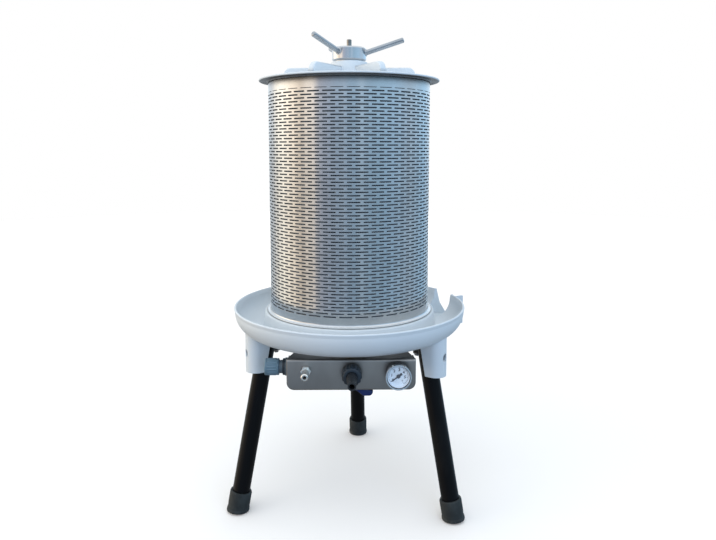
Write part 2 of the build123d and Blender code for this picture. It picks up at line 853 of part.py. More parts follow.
# Control panel: folded sheet that hangs from the spindle by its strap
with BuildPart() as control_panel:
    with BuildSketch(Plane.YZ.offset(panel_left)):
        with BuildLine():
            bend = (-panel_front + panel_bend, panel_top - panel_bend)
            Line((-panel_front, panel_bottom), (-panel_front, bend[1]))
            CenterArc(bend, panel_bend, 90, 90)
            Line((bend[0], panel_top), (panel_strap_overhang, panel_top))
            Line((panel_strap_overhang, panel_top), (panel_strap_overhang, panel_top - panel_sheet))
            Line((panel_strap_overhang, panel_top - panel_sheet), (bend[0], panel_top - panel_sheet))
            CenterArc(bend, panel_bend - panel_sheet, 90, 90)
            Line((-panel_back, bend[1]), (-panel_back, panel_bottom))
            Line((-panel_back, panel_bottom), (-panel_front, panel_bottom))
        make_face()
    extrude(amount=panel_width)
    lower_corners = control_panel.edges().filter_by(Axis.Y).group_by(Axis.Z)[0]
    fillet(lower_corners, panel_corner)
    with BuildSketch(Plane.XY.offset(panel_top)):
        with BuildLine():
            strap_length = panel_strap_overhang - bend[0]
            inset = strap_length * tan(radians(panel_strap_taper))
            Polyline(
                (panel_right, bend[0]),
                (panel_right, panel_strap_overhang),
                (panel_right - inset, panel_strap_overhang),
                close=True,
            )
        make_face()
        mirror(about=Plane.YZ.offset(panel_centre))
    extrude(amount=-panel_sheet, mode=Mode.SUBTRACT)
    strap_corners = control_panel.edges().filter_by(Axis.Z).group_by(Axis.Y)[-1]
    fillet(strap_corners, panel_strap_corner)
    return_bottom = panel_bottom + panel_corner
    return_top = panel_top - panel_bend - panel_return_margin
    for side_x in (panel_left, panel_right - panel_sheet):
        with BuildSketch(Plane.XY.offset(return_bottom)):
            with Locations((side_x, -panel_back)):
                Rectangle(panel_sheet, panel_return_depth, align=(Align.MIN, Align.MIN))
        extrude(amount=return_top - return_bottom)
    with BuildSketch(Plane.XZ.offset(panel_front)):
        with Locations((drain_x, port_height)):
            Circle(neck_radius + hole_clearance)
        with Locations((relief_x, relief_height), (gauge_x, port_height)):
            Circle(port_radius + hole_clearance)
    extrude(amount=-panel_sheet, mode=Mode.SUBTRACT)
    with BuildSketch(Plane.YZ.offset(panel_left)):
        with Locations((manifold_y, port_height)):
            Circle(inlet_thread_radius + hole_clearance)
    extrude(amount=panel_sheet, mode=Mode.SUBTRACT)
    with BuildSketch(Plane.XY.offset(panel_top)):
        Circle(bore_radius)
        with Locations((drain_x, manifold_y)):
            Circle(riser_radius + hole_clearance)
    extrude(amount=-panel_sheet, mode=Mode.SUBTRACT)
save(control_panel, "control_panel")

# Manifold behind the panel, its end plug and the riser to the bladder
with BuildPart() as manifold:
    with BuildSketch(Plane.YZ.offset(manifold_left)):
        with Locations((manifold_y, port_height)):
            Circle(manifold_radius)
    extrude(amount=manifold_right - manifold_left)
    for port_x, height in ((relief_x, relief_height), (gauge_x, port_height)):
        with BuildSketch(front_plane(port_x, -panel_sheet, height)):
            Circle(port_boss_radius)
    extrude(amount=panel_sheet - manifold_setback)
    with BuildSketch(front_plane(drain_x, valve_back)):
        Circle(drain_boss_radius)
    extrude(amount=-(manifold_setback + valve_back))
    with BuildSketch(Plane.XY.offset(port_height)):
        with Locations((drain_x, manifold_y)):
            Circle(riser_radius + riser_wall)
    extrude(amount=manifold_radius + riser_boss_height)
    with BuildSketch(Plane.YZ.offset(manifold_left)):
        with Locations((manifold_y, port_height)):
            Circle(manifold_bore)
    extrude(amount=manifold_right - manifold_left, mode=Mode.SUBTRACT)
    for port_x, height in ((relief_x, relief_height), (gauge_x, port_height)):
        with BuildSketch(front_plane(port_x, -panel_sheet, height)):
            Circle(port_radius + port_clearance)
    extrude(amount=-port_depth, mode=Mode.SUBTRACT)
    for port_x, height in ((relief_x, relief_height), (gauge_x, port_height), (drain_x, port_height)):
        with BuildSketch(front_plane(port_x, -panel_sheet, height)):
            Circle(ball_bore)
    extrude(amount=panel_sheet - manifold_setback, mode=Mode.SUBTRACT)
    with BuildSketch(Plane.XY.offset(port_height)):
        with Locations((drain_x, manifold_y)):
            Circle(riser_radius - riser_wall)
    extrude(amount=manifold_radius + riser_boss_height, mode=Mode.SUBTRACT)
save(manifold, "manifold")

with BuildPart() as manifold_plug:
    with BuildSketch(Plane.YZ.offset(manifold_right)):
        with Locations((manifold_y, port_height)):
            RegularPolygon(hexagon_radius(plug_across), 6)
    extrude(amount=plug_length)
save(manifold_plug, "manifold_plug")

with BuildPart() as riser_pipe:
    riser_bottom = port_height + manifold_radius + riser_boss_height
    riser_run = port_height + riser_run_height
    with BuildLine() as riser_path:
        FilletPolyline(
            (drain_x, manifold_y, riser_bottom),
            (drain_x, manifold_y, riser_run),
            (drain_x, -riser_circle, riser_run),
            (drain_x, -riser_circle, seat_height),
            radius=riser_bend,
        )
    with BuildSketch(Plane((drain_x, manifold_y, riser_bottom))):
        Circle(riser_radius)
        Circle(riser_radius - riser_wall, mode=Mode.SUBTRACT)
    sweep(path=riser_path.line)
save(riser_pipe, "riser_pipe")

# Drain valve: body with a ball that the lever turns from below
valve_centre = (valve_back - panel_sheet) / 2
ball_centre = (drain_x, -panel_front - valve_centre, port_height)
bonnet_bottom = port_height - valve_radius - bonnet_length
lever_top = bonnet_bottom - lever_gap
lever_bottom = lever_top - lever_hub_height
tip_bottom = lever_bottom - lever_drop
stem_top = port_height - ball_radius + stem_depth

with BuildPart() as drain_valve_body:
    outline = [
        (valve_back, 0),
        (valve_back, drain_boss_radius),
        (valve_centre - valve_shoulder, valve_radius),
        (-panel_sheet, valve_radius),
        (-panel_sheet, neck_radius),
        (neck_length, neck_radius),
        (neck_length, 0),
    ]
    revolve(profile(drain_axis, outline), axis=drain_axis)
    with BuildSketch(Plane(ball_centre)):
        Circle(bonnet_radius)
    extrude(amount=-(valve_radius + bonnet_length))
    with BuildSketch(front_plane(drain_x, neck_length)):
        Circle(ball_bore)
    extrude(amount=valve_back - neck_length, mode=Mode.SUBTRACT)
    with Locations(ball_centre):
        Sphere(ball_radius + ball_clearance, mode=Mode.SUBTRACT)
    with BuildSketch(Plane(ball_centre)):
        Circle(stem_radius + stem_clearance)
    extrude(amount=-(valve_radius + bonnet_length), mode=Mode.SUBTRACT)
save(drain_valve_body, "drain_valve_body")

with BuildPart() as drain_ball:
    with Locations(ball_centre):
        Sphere(ball_radius)
    with BuildSketch(Plane(ball_centre, x_dir=(0, 1, 0), z_dir=(1, 0, 0))):
        Circle(ball_bore)
    extrude(amount=ball_radius, both=True, mode=Mode.SUBTRACT)
    with BuildSketch(Plane((ball_centre[0], ball_centre[1], stem_top))):
        Circle(stem_radius + lever_fit)
    extrude(amount=-ball_radius, mode=Mode.SUBTRACT)
save(drain_ball, "drain_ball")

with BuildPart() as drain_stem:
    with BuildSketch(Plane((ball_centre[0], ball_centre[1], stem_top))):
        Circle(stem_radius)
    extrude(amount=lever_bottom - stem_top)
save(drain_stem, "drain_stem")

with BuildPart() as drain_lever:
    with BuildSketch(Plane((drain_x, ball_centre[1], tip_bottom))):
        Circle(lever_hub_radius)
        with Locations((lever_reach - lever_width / 2, 0)):
            Circle(lever_width / 2)
        make_hull()
    extrude(amount=lever_top - tip_bottom)
    fillet(drain_lever.edges().group_by(Axis.Z)[0], lever_round)
    with BuildSketch(Plane((drain_x, ball_centre[1], 0), x_dir=(1, 0, 0), z_dir=(0, -1, 0))):
        with BuildLine():
            Polyline(
                (lever_hub_radius, lever_top),
                (lever_reach, tip_bottom + lever_tip_height),
                (lever_reach, lever_top),
                close=True,
            )
        make_face()
        with BuildLine():
            Polyline(
                (-lever_hub_radius, tip_bottom),
                (lever_knee, tip_bottom),
                (lever_hub_radius, lever_bottom),
                (-lever_hub_radius, lever_bottom),
                close=True,
            )
        make_face()
    extrude(amount=lever_hub_radius, both=True, mode=Mode.SUBTRACT)
    with BuildSketch(Plane((drain_x, ball_centre[1], lever_bottom))):
        Circle(stem_radius + lever_fit)
    extrude(amount=lever_hub_height, mode=Mode.SUBTRACT)
save(drain_lever, "drain_lever")

with BuildPart() as lever_screw:
    with BuildSketch(Plane((drain_x, ball_centre[1], lever_bottom))):
        Circle(lever_screw_radius)
    extrude(amount=-lever_screw_height)
    chamfer(lever_screw.edges().group_by(Axis.Z)[0], lever_screw_edge)
save(lever_screw, "lever_screw")

# Outlet union: gasket, hose tail, slip ring and ribbed nut
tail_start = neck_length + gasket_thickness
slip_start = tail_start + tail_flange_thickness
union_wall_start = slip_start + slip_ring_thickness
barb_start = slip_start + tail_plain
nose_start = barb_start + tail_barb_count * tail_barb_pitch

with BuildPart() as outlet_gasket:
    with BuildSketch(front_plane(drain_x, neck_length)):
        Circle(tail_flange_radius)
        Circle(tail_bore, mode=Mode.SUBTRACT)
    extrude(amount=gasket_thickness)
save(outlet_gasket, "outlet_gasket")

with BuildPart() as hose_tail:
    barbs = []
    for barb in range(tail_barb_count):
        edge = barb_start + barb * tail_barb_pitch
        crest = tail_nose_radius + tail_barb_rise * (tail_barb_count - barb)
        barbs += [(edge, tail_nose_radius), (edge, crest)]
    outline = [
        (tail_start, tail_bore),
        (tail_start, tail_flange_radius),
        (slip_start, tail_flange_radius),
        (slip_start, tail_radius),
        (barb_start, tail_radius),
        *barbs,
        (nose_start, tail_nose_radius),
        (nose_start + tail_nose_length, tail_nose_radius),
        (nose_start + tail_nose_length, tail_bore),
    ]
    revolve(profile(drain_axis, outline), axis=drain_axis)
save(hose_tail, "hose_tail")

with BuildPart() as outlet_slip_ring:
    with BuildSketch(front_plane(drain_x, slip_start)):
        Circle(tail_flange_radius)
        Circle(tail_radius + union_clearance, mode=Mode.SUBTRACT)
    extrude(amount=slip_ring_thickness)
save(outlet_slip_ring, "outlet_slip_ring")

with BuildPart() as outlet_union_nut:
    with BuildSketch(front_plane(drain_x, union_gap)):
        Circle(union_radius)
        with PolarLocations(union_radius, union_rib_count):
            Rectangle(union_rib_height * 2, union_rib_width)
    extrude(amount=union_wall_start + union_front_wall - union_gap)
    with BuildSketch(front_plane(drain_x, union_gap)):
        Circle(neck_radius + union_clearance)
    extrude(amount=union_wall_start - union_gap, mode=Mode.SUBTRACT)
    with BuildSketch(front_plane(drain_x, union_wall_start)):
        Circle(tail_radius + union_clearance)
    extrude(amount=union_front_wall, mode=Mode.SUBTRACT)
save(outlet_union_nut, "outlet_union_nut")

# Relief valve: body with a sprung poppet on its seat
relief_end = relief_length - relief_end_wall
relief_back = -panel_sheet - relief_tail

with BuildPart() as relief_valve_body:
    with BuildSketch(front_plane(relief_x, 0, relief_height)):
        RegularPolygon(hexagon_radius(relief_hex_across), 6)
    extrude(amount=relief_hex_length)
    outline = [
        (relief_back, 0),
        (relief_back, port_radius),
        (0, port_radius),
        (relief_hex_length, relief_radius),
        (relief_length - relief_edge, relief_radius),
        (relief_length, relief_radius - relief_edge),
        (relief_length, 0),
    ]
    revolve(profile(relief_axis, outline), axis=relief_axis)
    outline = [
        (relief_back, 0),
        (relief_back, relief_passage),
        (relief_seat_depth, relief_passage),
        (relief_seat_depth, relief_chamber),
        (relief_end, relief_chamber),
        (relief_end, relief_outlet),
        (relief_length, relief_outlet),
        (relief_length, 0),
    ]
    revolve(profile(relief_axis, outline), axis=relief_axis, mode=Mode.SUBTRACT)
save(relief_valve_body, "relief_valve_body")

with BuildPart() as relief_poppet:
    poppet_front = relief_seat_depth + poppet_thickness
    outline = [
        (relief_seat_depth, 0),
        (relief_seat_depth, poppet_radius),
        (poppet_front, poppet_radius),
        (poppet_front, poppet_guide_radius),
        (poppet_front + poppet_guide_length, poppet_guide_radius),
        (poppet_front + poppet_guide_length, 0),
    ]
    revolve(profile(relief_axis, outline), axis=relief_axis)
save(relief_poppet, "relief_poppet")

with BuildPart() as relief_spring:
    spring_length = relief_end - poppet_front - 2 * (spring_wire + spring_gap)
    with BuildLine() as spring_path:
        Helix(
            pitch=spring_length / spring_turns,
            height=spring_length,
            radius=relief_chamber - spring_gap - spring_wire,
            center=(relief_x, -panel_front - poppet_front - spring_wire - spring_gap, relief_height),
            direction=(0, -1, 0),
        )
    with BuildSketch(Plane(spring_path.line @ 0, z_dir=spring_path.line % 0)):
        RegularPolygon(spring_wire, 6)
    sweep(path=spring_path.line, is_frenet=True)
save(relief_spring, "relief_spring")

# Pressure gauge: stem, case, dial, pointer, window and bezel
case_start = gauge_collar_length
case_front = case_start + gauge_depth
dial_start = case_front - dial_depth
pointer_start = dial_start + dial_thickness + pointer_gap
window_end = case_front + window_thickness
bezel_end = window_end + bezel_lip

with BuildPart() as gauge_stem:
    outline = [
        (-panel_sheet - port_depth, 0),
        (-panel_sheet - port_depth, port_radius),
        (0, port_radius),
        (0, gauge_collar_radius),
        (gauge_collar_length, gauge_collar_radius),
        (gauge_collar_length, 0),
    ]
    revolve(profile(gauge_axis, outline), axis=gauge_axis)
save(gauge_stem, "gauge_stem")

with BuildPart() as gauge_case:
    outline = [
        (case_start, 0),
        (case_start, gauge_radius),
        (case_front, gauge_radius),
        (case_front, gauge_radius - gauge_wall),
        (case_start + gauge_wall, gauge_radius - gauge_wall),
        (case_start + gauge_wall, 0),
    ]
    revolve(profile(gauge_axis, outline), axis=gauge_axis)
save(gauge_case, "gauge_case")

with BuildPart() as gauge_dial:
    with BuildSketch(front_plane(gauge_x, dial_start)):
        Circle(gauge_radius - gauge_wall - dial_gap)
        Circle(pointer_pin_radius + pointer_pin_clearance, mode=Mode.SUBTRACT)
    extrude(amount=dial_thickness)
save(gauge_dial, "gauge_dial")

with BuildPart() as gauge_pointer:
    with BuildSketch(front_plane(gauge_x, pointer_start)):
        with BuildLine():
            along = (cos(radians(pointer_zero)), sin(radians(pointer_zero)))
            across = (-along[1] * pointer_width / 2, along[0] * pointer_width / 2)
            Polyline(
                (along[0] * pointer_length, along[1] * pointer_length),
                (across[0], across[1]),
                (across[0] - along[0] * pointer_tail, across[1] - along[1] * pointer_tail),
                (-across[0] - along[0] * pointer_tail, -across[1] - along[1] * pointer_tail),
                (-across[0], -across[1]),
                close=True,
            )
        make_face()
        Circle(pointer_hub_radius)
    extrude(amount=pointer_thickness)
    with BuildSketch(front_plane(gauge_x, pointer_start)):
        Circle(pointer_pin_radius)
    extrude(amount=-pointer_pin_length)
save(gauge_pointer, "gauge_pointer")

with BuildPart() as gauge_window:
    with BuildSketch(front_plane(gauge_x, case_front)):
        Circle(gauge_radius)
    extrude(amount=window_thickness)
save(gauge_window, "gauge_window")

with BuildPart() as gauge_bezel:
    bezel_bore = gauge_radius + bezel_gap
    outline = [
        (case_front - bezel_overlap, bezel_bore),
        (case_front - bezel_overlap, bezel_bore + bezel_wall),
        (bezel_end, bezel_bore + bezel_wall),
        (bezel_end, gauge_radius - bezel_lip_width),
        (window_end, gauge_radius - bezel_lip_width),
        (window_end, bezel_bore),
    ]
    revolve(profile(gauge_axis, outline), axis=gauge_axis)
save(gauge_bezel, "gauge_bezel")

# Inlet coupling: socket body with a release sleeve that slides back
inlet_end = inlet_flange_length + inlet_length

with BuildPart() as inlet_body:
    outline = [
        (panel_left - manifold_left, manifold_bore),
        (panel_left - manifold_left, inlet_thread_radius),
        (0, inlet_thread_radius),
        (0, inlet_flange_radius),
        (inlet_flange_length, inlet_flange_radius),
        (inlet_flange_length, inlet_body_radius),
        (inlet_end, inlet_body_radius),
        (inlet_end, inlet_bore),
        (inlet_end - inlet_bore_depth, inlet_bore),
        (inlet_end - inlet_bore_depth, manifold_bore),
    ]
    revolve(profile(inlet_axis, outline), axis=inlet_axis)
save(inlet_body, "inlet_body")

with BuildPart() as inlet_sleeve:
    sleeve_plane = Plane(
        (panel_left - inlet_end + sleeve_length, manifold_y, port_height),
        x_dir=(0, 1, 0),
        z_dir=(-1, 0, 0),
    )
    with BuildSketch(sleeve_plane):
        Circle(sleeve_radius)
        with PolarLocations(sleeve_radius, sleeve_rib_count):
            Rectangle(sleeve_rib_height * 2, sleeve_rib_width)
        Circle(inlet_body_radius + sleeve_clearance, mode=Mode.SUBTRACT)
    extrude(amount=sleeve_length)
save(inlet_sleeve, "inlet_sleeve")
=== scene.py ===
import logging
import math
from dataclasses import dataclass, field
from enum import Enum
from functools import cache
from typing import Callable, Iterable, Sequence

import bmesh
import bpy
from mathutils import Matrix, Vector


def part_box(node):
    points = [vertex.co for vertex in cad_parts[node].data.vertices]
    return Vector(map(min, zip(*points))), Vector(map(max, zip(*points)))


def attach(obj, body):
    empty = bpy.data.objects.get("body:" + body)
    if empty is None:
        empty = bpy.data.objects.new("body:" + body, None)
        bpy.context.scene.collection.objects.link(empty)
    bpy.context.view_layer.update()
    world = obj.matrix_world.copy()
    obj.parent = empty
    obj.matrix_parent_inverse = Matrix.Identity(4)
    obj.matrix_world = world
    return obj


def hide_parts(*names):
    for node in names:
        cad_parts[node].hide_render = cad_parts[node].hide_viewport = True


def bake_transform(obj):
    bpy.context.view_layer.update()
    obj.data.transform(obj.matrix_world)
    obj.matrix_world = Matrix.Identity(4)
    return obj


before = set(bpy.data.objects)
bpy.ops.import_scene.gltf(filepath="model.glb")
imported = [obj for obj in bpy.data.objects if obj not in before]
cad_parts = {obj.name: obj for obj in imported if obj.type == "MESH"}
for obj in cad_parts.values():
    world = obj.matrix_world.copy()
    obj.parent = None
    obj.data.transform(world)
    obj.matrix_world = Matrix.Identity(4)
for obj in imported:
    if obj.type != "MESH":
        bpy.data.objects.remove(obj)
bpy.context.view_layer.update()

log = logging.getLogger("fruit_press")

Colour = tuple[float, float, float]
Point = tuple[float, float, float]
Ring = tuple[float, float]
Face = tuple[int, ...]
Material = bpy.types.Material
Mesh = bpy.types.Mesh
Object = bpy.types.Object
Socket = bpy.types.NodeSocket

UP = Vector((0.0, 0.0, 1.0))
FRONT = Vector((0.0, -1.0, 0.0))
LEFT = Vector((-1.0, 0.0, 0.0))
OUTWARD: Ring = (1.0, 0.0)
INWARD: Ring = (-1.0, 0.0)
DIAGONAL = 0.707
MIX_INPUTS = (0, 6, 7)
MIX_RESULT = 2


class Body(Enum):
    """Rigid bodies of the press that new pieces ride on."""

    STAND = "stand"
    BASKET = "basket"
    LID = "lid"
    CLAMP_NUT = "clamp_nut"
    OUTLET_NUT = "outlet_nut"
    INLET_SLEEVE = "inlet_sleeve"
    LEVER = "drain_lever"
    POINTER = "gauge_pointer"
    POPPET = "relief_poppet"


class Slot(Enum):
    """Material slots of the record that new pieces take their finish from."""

    WHITE_PLASTIC = "white_plastic"
    BASKET_STEEL = "basket_steel"
    POLISHED_STEEL = "polished_steel"
    ZINC_STEEL = "zinc_steel"
    FOOT_RUBBER = "foot_rubber"
    BLADDER_RUBBER = "bladder_rubber"
    BLACK_PLASTIC = "black_plastic"
    LEVER_BLUE = "lever_blue"
    DIAL_WHITE = "dial_white"
    COUPLING_GREY = "coupling_grey"
    SLEEVE_GREY = "sleeve_grey"
    PRESS_WEAVE = "press_weave"


class Grain(Enum):
    """How fast a surface pattern changes along x, y and z, per metre."""

    EVEN = (60.0, 60.0, 60.0)
    FINE = (900.0, 900.0, 900.0)
    SIDEWAYS = (12.0, 1700.0, 1700.0)
    UPRIGHT = (900.0, 900.0, 10.0)
    AROUND = (10.0, 10.0, 2400.0)
    SMEAR = (9.0, 9.0, 6.0)
    MOTTLE = (22.0, 22.0, 14.0)
    DENT = (11.0, 11.0, 5.0)
    TURNING = (40.0, 40.0, 90.0)
    BLOTCH = (7.0, 7.0, 9.0)
    SCUFF = (26.0, 26.0, 26.0)
    SINK = (16.0, 16.0, 12.0)
    CHIP = (40.0, 40.0, 8.0)
    BAKED = (30.0, 30.0, 12.0)
    PEEL = (420.0, 420.0, 420.0)
    DUST = (55.0, 55.0, 35.0)
    DRY = (80.0, 80.0, 80.0)
    SKIN = (700.0, 700.0, 700.0)
    STAIN = (14.0, 14.0, 5.0)
    AGEING = (130.0, 130.0, 130.0)
    GLAZE = (300.0, 300.0, 300.0)
    SPECK = (1500.0, 1500.0, 1500.0)
    WIPED = (90.0, 90.0, 40.0)
    PAPER = (1.5, 1.5, 1.5)


@dataclass(frozen=True)
class ContactShade:
    """Painted shade where pieces meet, darkening the colour by ambient occlusion.

    A surface closer than reach counts. Openness from start to stop goes from the deepest share to
    the full tone. Nothing is darkened below lowest or above highest, in metres.
    """

    reach: float
    deepest: float
    start: float
    stop: float
    lowest: float = 0.0
    highest: float = 2.0


@dataclass(frozen=True)
class PaintedHeightLight:
    """Painted light and shade by height: the tone times gain up to low, full from high, in metres."""

    low: float
    high: float
    gain: float


class Nodes:
    """A node tree, with short calls that add nodes and join them."""

    def __init__(self, tree: bpy.types.NodeTree) -> None:
        """Take the tree that the nodes go into."""
        self.tree = tree

    def add(self, kind: str) -> bpy.types.Node:
        """Add a node of this kind."""
        return self.tree.nodes.new(f"ShaderNode{kind}")

    def feed(self, target: Socket, value: Socket | float | Sequence[float]) -> None:
        """Link a socket to a pattern, or set it to a fixed value.

        Args:
            target: The socket.
            value: The pattern or the value.
        """
        if isinstance(value, Socket):
            self.tree.links.new(value, target)
        else:
            target.default_value = value

    def calculate(self, operation: str, *values: Socket | float) -> Socket:
        """Work out a value from patterns and numbers.

        Args:
            operation: Name of the operation.
            values: What it takes, in order.

        Returns:
            The result.
        """
        node = self.add("Math")
        node.operation = operation
        for target, value in zip(node.inputs, values):
            self.feed(target, value)
        return node.outputs["Value"]

    def coordinates(self, kind: str = "Object") -> Socket:
        """Coordinates of the shared frame, or another kind."""
        return self.add("TexCoord").outputs[kind]

    def parts(self, kind: str = "Object") -> tuple[Socket, Socket, Socket]:
        """Take coordinates apart.

        Args:
            kind: Kind of coordinates.

        Returns:
            Their x, y and z.
        """
        split = self.add("SeparateXYZ")
        self.feed(split.inputs["Vector"], self.coordinates(kind))
        return split.outputs["X"], split.outputs["Y"], split.outputs["Z"]

    def between(
        self, value: Socket, low: float, high: float, start: float = 0.3, stop: float = 0.7
    ) -> Socket:
        """Map a pattern to a range.

        Args:
            value: The pattern.
            low: Result at start and before it.
            high: Result at stop and after it.
            start: Pattern value that gives low.
            stop: Pattern value that gives high.

        Returns:
            The mapped value.
        """
        node = self.add("MapRange")
        limits = {"From Min": start, "From Max": stop, "To Min": low, "To Max": high, "Value": value}
        for name, limit in limits.items():
            self.feed(node.inputs[name], limit)
        return node.outputs["Result"]

    def ramp(self, value: Socket, stops: Sequence[tuple[float, Colour]]) -> Socket:
        """Turn a pattern into a colour.

        Args:
            value: The pattern.
            stops: Pattern values and their colours, first the two ends and then those between.

        Returns:
            The colour.
        """
        node = self.add("ValToRGB")
        elements = node.color_ramp.elements
        for number, (position, colour) in enumerate(stops):
            element = elements[number] if number < 2 else elements.new(position)
            element.position = position
            element.color = (*colour, 1.0)
        self.feed(node.inputs["Fac"], value)
        return node.outputs["Color"]

    def blend(
        self, how: str, first: Socket, second: Socket | Sequence[float], weight: Socket | float = 1.0
    ) -> Socket:
        """Blend two colours.

        Args:
            how: Name of the blend.
            first: Colour below.
            second: Colour above.
            weight: Share of the colour above.

        Returns:
            The blended colour.
        """
        node = self.add("Mix")
        node.data_type = "RGBA"
        node.blend_type = how
        for number, value in zip(MIX_INPUTS, (weight, first, second)):
            self.feed(node.inputs[number], value)
        return node.outputs[MIX_RESULT]


class Shader(Nodes):
    """Nodes of one material round its principled surface."""

    def __init__(self, name: str, colour: Colour, metallic: float, roughness: float) -> None:
        """Start from one principled surface.

        Args:
            name: Name of the new material.
            colour: Base colour, linear.
            metallic: 1 for bare metal, 0 for the rest.
            roughness: Roughness where nothing varies it.
        """
        self.material = bpy.data.materials.new(name)
        self.material.use_nodes = True
        super().__init__(self.material.node_tree)
        self.surface = self.tree.nodes["Principled BSDF"].inputs
        self.surface["Base Color"].default_value = (*colour, 1.0)
        self.surface["Metallic"].default_value = metallic
        self.surface["Roughness"].default_value = roughness
        self.relief: Socket | None = None
        self.tone: Socket | None = None

    def noise(self, grain: Grain, detail: float = 3.0) -> Socket:
        """Soft random pattern in the shared frame.

        Args:
            grain: How fast it changes.
            detail: Octaves of finer pattern.

        Returns:
            A value from 0 to 1.
        """
        mapping = self.add("Mapping")
        mapping.inputs["Scale"].default_value = grain.value
        self.feed(mapping.inputs["Vector"], self.coordinates())
        node = self.add("TexNoise")
        node.inputs["Scale"].default_value = 1.0
        node.inputs["Detail"].default_value = detail
        self.feed(node.inputs["Vector"], mapping.outputs["Vector"])
        return node.outputs["Fac"]

    def colour_by(self, tone: Socket) -> None:
        """Give the surface this tone."""
        self.tone = tone
        self.feed(self.surface["Base Color"], tone)

    def tint(
        self, value: Socket, dark: Colour, light: Colour, start: float = 0.3, stop: float = 0.7
    ) -> None:
        """Colour the surface by a pattern.

        Args:
            value: The pattern.
            dark: Colour at start.
            light: Colour at stop.
            start: Pattern value of the first colour.
            stop: Pattern value of the second colour.
        """
        self.colour_by(self.ramp(value, [(start, dark), (stop, light)]))

    def scale_tone(self, share: Socket) -> None:
        """Multiply the surface's colour by a varying share."""
        self.colour_by(self.blend("MULTIPLY", self.tone, share))

    def fade(self, fade: PaintedHeightLight) -> None:
        """Paint light and shade into the tone by height."""
        self.scale_tone(self.between(self.parts()[2], fade.gain, 1.0, fade.low, fade.high))

    def paint_contact_shade(self, shade: ContactShade) -> None:
        """Paint shade into the tone where another surface stands close by.

        Args:
            shade: How far the darkening reaches, how deep it is and between which heights.
        """
        near = self.add("AmbientOcclusion")
        near.samples = 12
        near.inputs["Distance"].default_value = shade.reach
        height = self.parts()[2]
        openness = near.outputs["AO"]
        for bare in (
            self.between(height, 1.0, 0.0, shade.lowest - 0.02, shade.lowest),
            self.between(height, 0.0, 1.0, shade.highest, shade.highest + 0.002),
        ):
            openness = self.calculate("MAXIMUM", openness, bare)
        self.scale_tone(self.between(openness, shade.deepest, 1.0, shade.start, shade.stop))

    def rough(self, value: Socket, low: float, high: float) -> None:
        """Vary the roughness by a pattern."""
        self.feed(self.surface["Roughness"], self.between(value, low, high))

    def face_by(self, relief: Socket) -> None:
        """Give the surface these normals."""
        self.relief = relief
        self.feed(self.surface["Normal"], relief)

    def round_edges(self, radius: float) -> None:
        """Shade sharp edges as if they were rounded.

        Args:
            radius: Radius of the rounding in metres.
        """
        node = self.add("Bevel")
        node.samples = 6
        node.inputs["Radius"].default_value = radius
        self.face_by(node.outputs["Normal"])

    def bump(self, height: Socket, depth: float) -> None:
        """Add relief, over whatever relief is there already.

        Args:
            height: Height pattern from 0 to 1.
            depth: Height of the relief in metres.
        """
        node = self.add("Bump")
        node.inputs["Strength"].default_value = 1.0
        node.inputs["Distance"].default_value = depth
        self.feed(node.inputs["Height"], height)
        if self.relief is not None:
            self.feed(node.inputs["Normal"], self.relief)
        self.face_by(node.outputs["Normal"])


@dataclass(frozen=True)
class BareMetal:
    """Uncoated metal: steel sheet, turned steel, brass or nickel plate."""

    name: str
    dark: Colour
    light: Colour
    grain: Grain
    smooth: float
    dull: float
    lines: float = 0.000004
    dents: float = 0.0
    edge: float = 0.0005
    shade: ContactShade | None = None
    fade: PaintedHeightLight | None = None

    def build(self) -> Material:
        """Make the material.

        Returns:
            Metal with fine lines, soft smears in its gloss, painted light and shade by height,
            painted shade where it meets other pieces and, on sheet, shallow dents.
        """
        shader = Shader(self.name, self.light, 1.0, self.smooth)
        shader.round_edges(self.edge)
        shader.rough(shader.noise(Grain.SMEAR, 4.0), self.smooth, self.dull)
        shader.tint(shader.noise(Grain.MOTTLE, 5.0), self.dark, self.light)
        # Painted light and shade: the tone is lighter or darker by height.
        if self.fade:
            shader.fade(self.fade)
        # Painted shade: the tone is darkened where other pieces stand close.
        if self.shade:
            shader.paint_contact_shade(self.shade)
        if self.dents:
            shader.bump(shader.noise(Grain.DENT, 1.0), self.dents)
        shader.bump(shader.noise(self.grain, 2.0), self.lines)
        return shader.material


@dataclass(frozen=True)
class ThreadedSteel:
    """Turned steel rod with a rolled thread below a plain tip."""

    name: str
    colour: Colour
    pitch: float
    thread_top: float
    depth: float = 0.0016
    darkest: float = 0.72

    def build(self) -> Material:
        """Make the material.

        Returns:
            Steel with thread ridges that stop below the plain tip.
        """
        shader = Shader(self.name, self.colour, 1.0, 0.25)
        shader.round_edges(0.0004)
        wave = shader.add("TexWave")
        wave.bands_direction = "Z"
        wave.wave_profile = "TRI"
        wave.inputs["Scale"].default_value = math.tau / 20.0 / self.pitch
        shader.feed(wave.inputs["Vector"], shader.coordinates())
        below = shader.between(shader.parts()[2], 1.0, 0.0, self.thread_top - 0.001, self.thread_top)
        shader.bump(shader.calculate("MULTIPLY", wave.outputs["Fac"], below), self.depth)
        shader.rough(shader.noise(Grain.EVEN), 0.18, 0.34)
        dark = tuple(self.darkest * part for part in self.colour)
        shader.tint(shader.noise(Grain.TURNING, 4.0), dark, self.colour)
        return shader.material


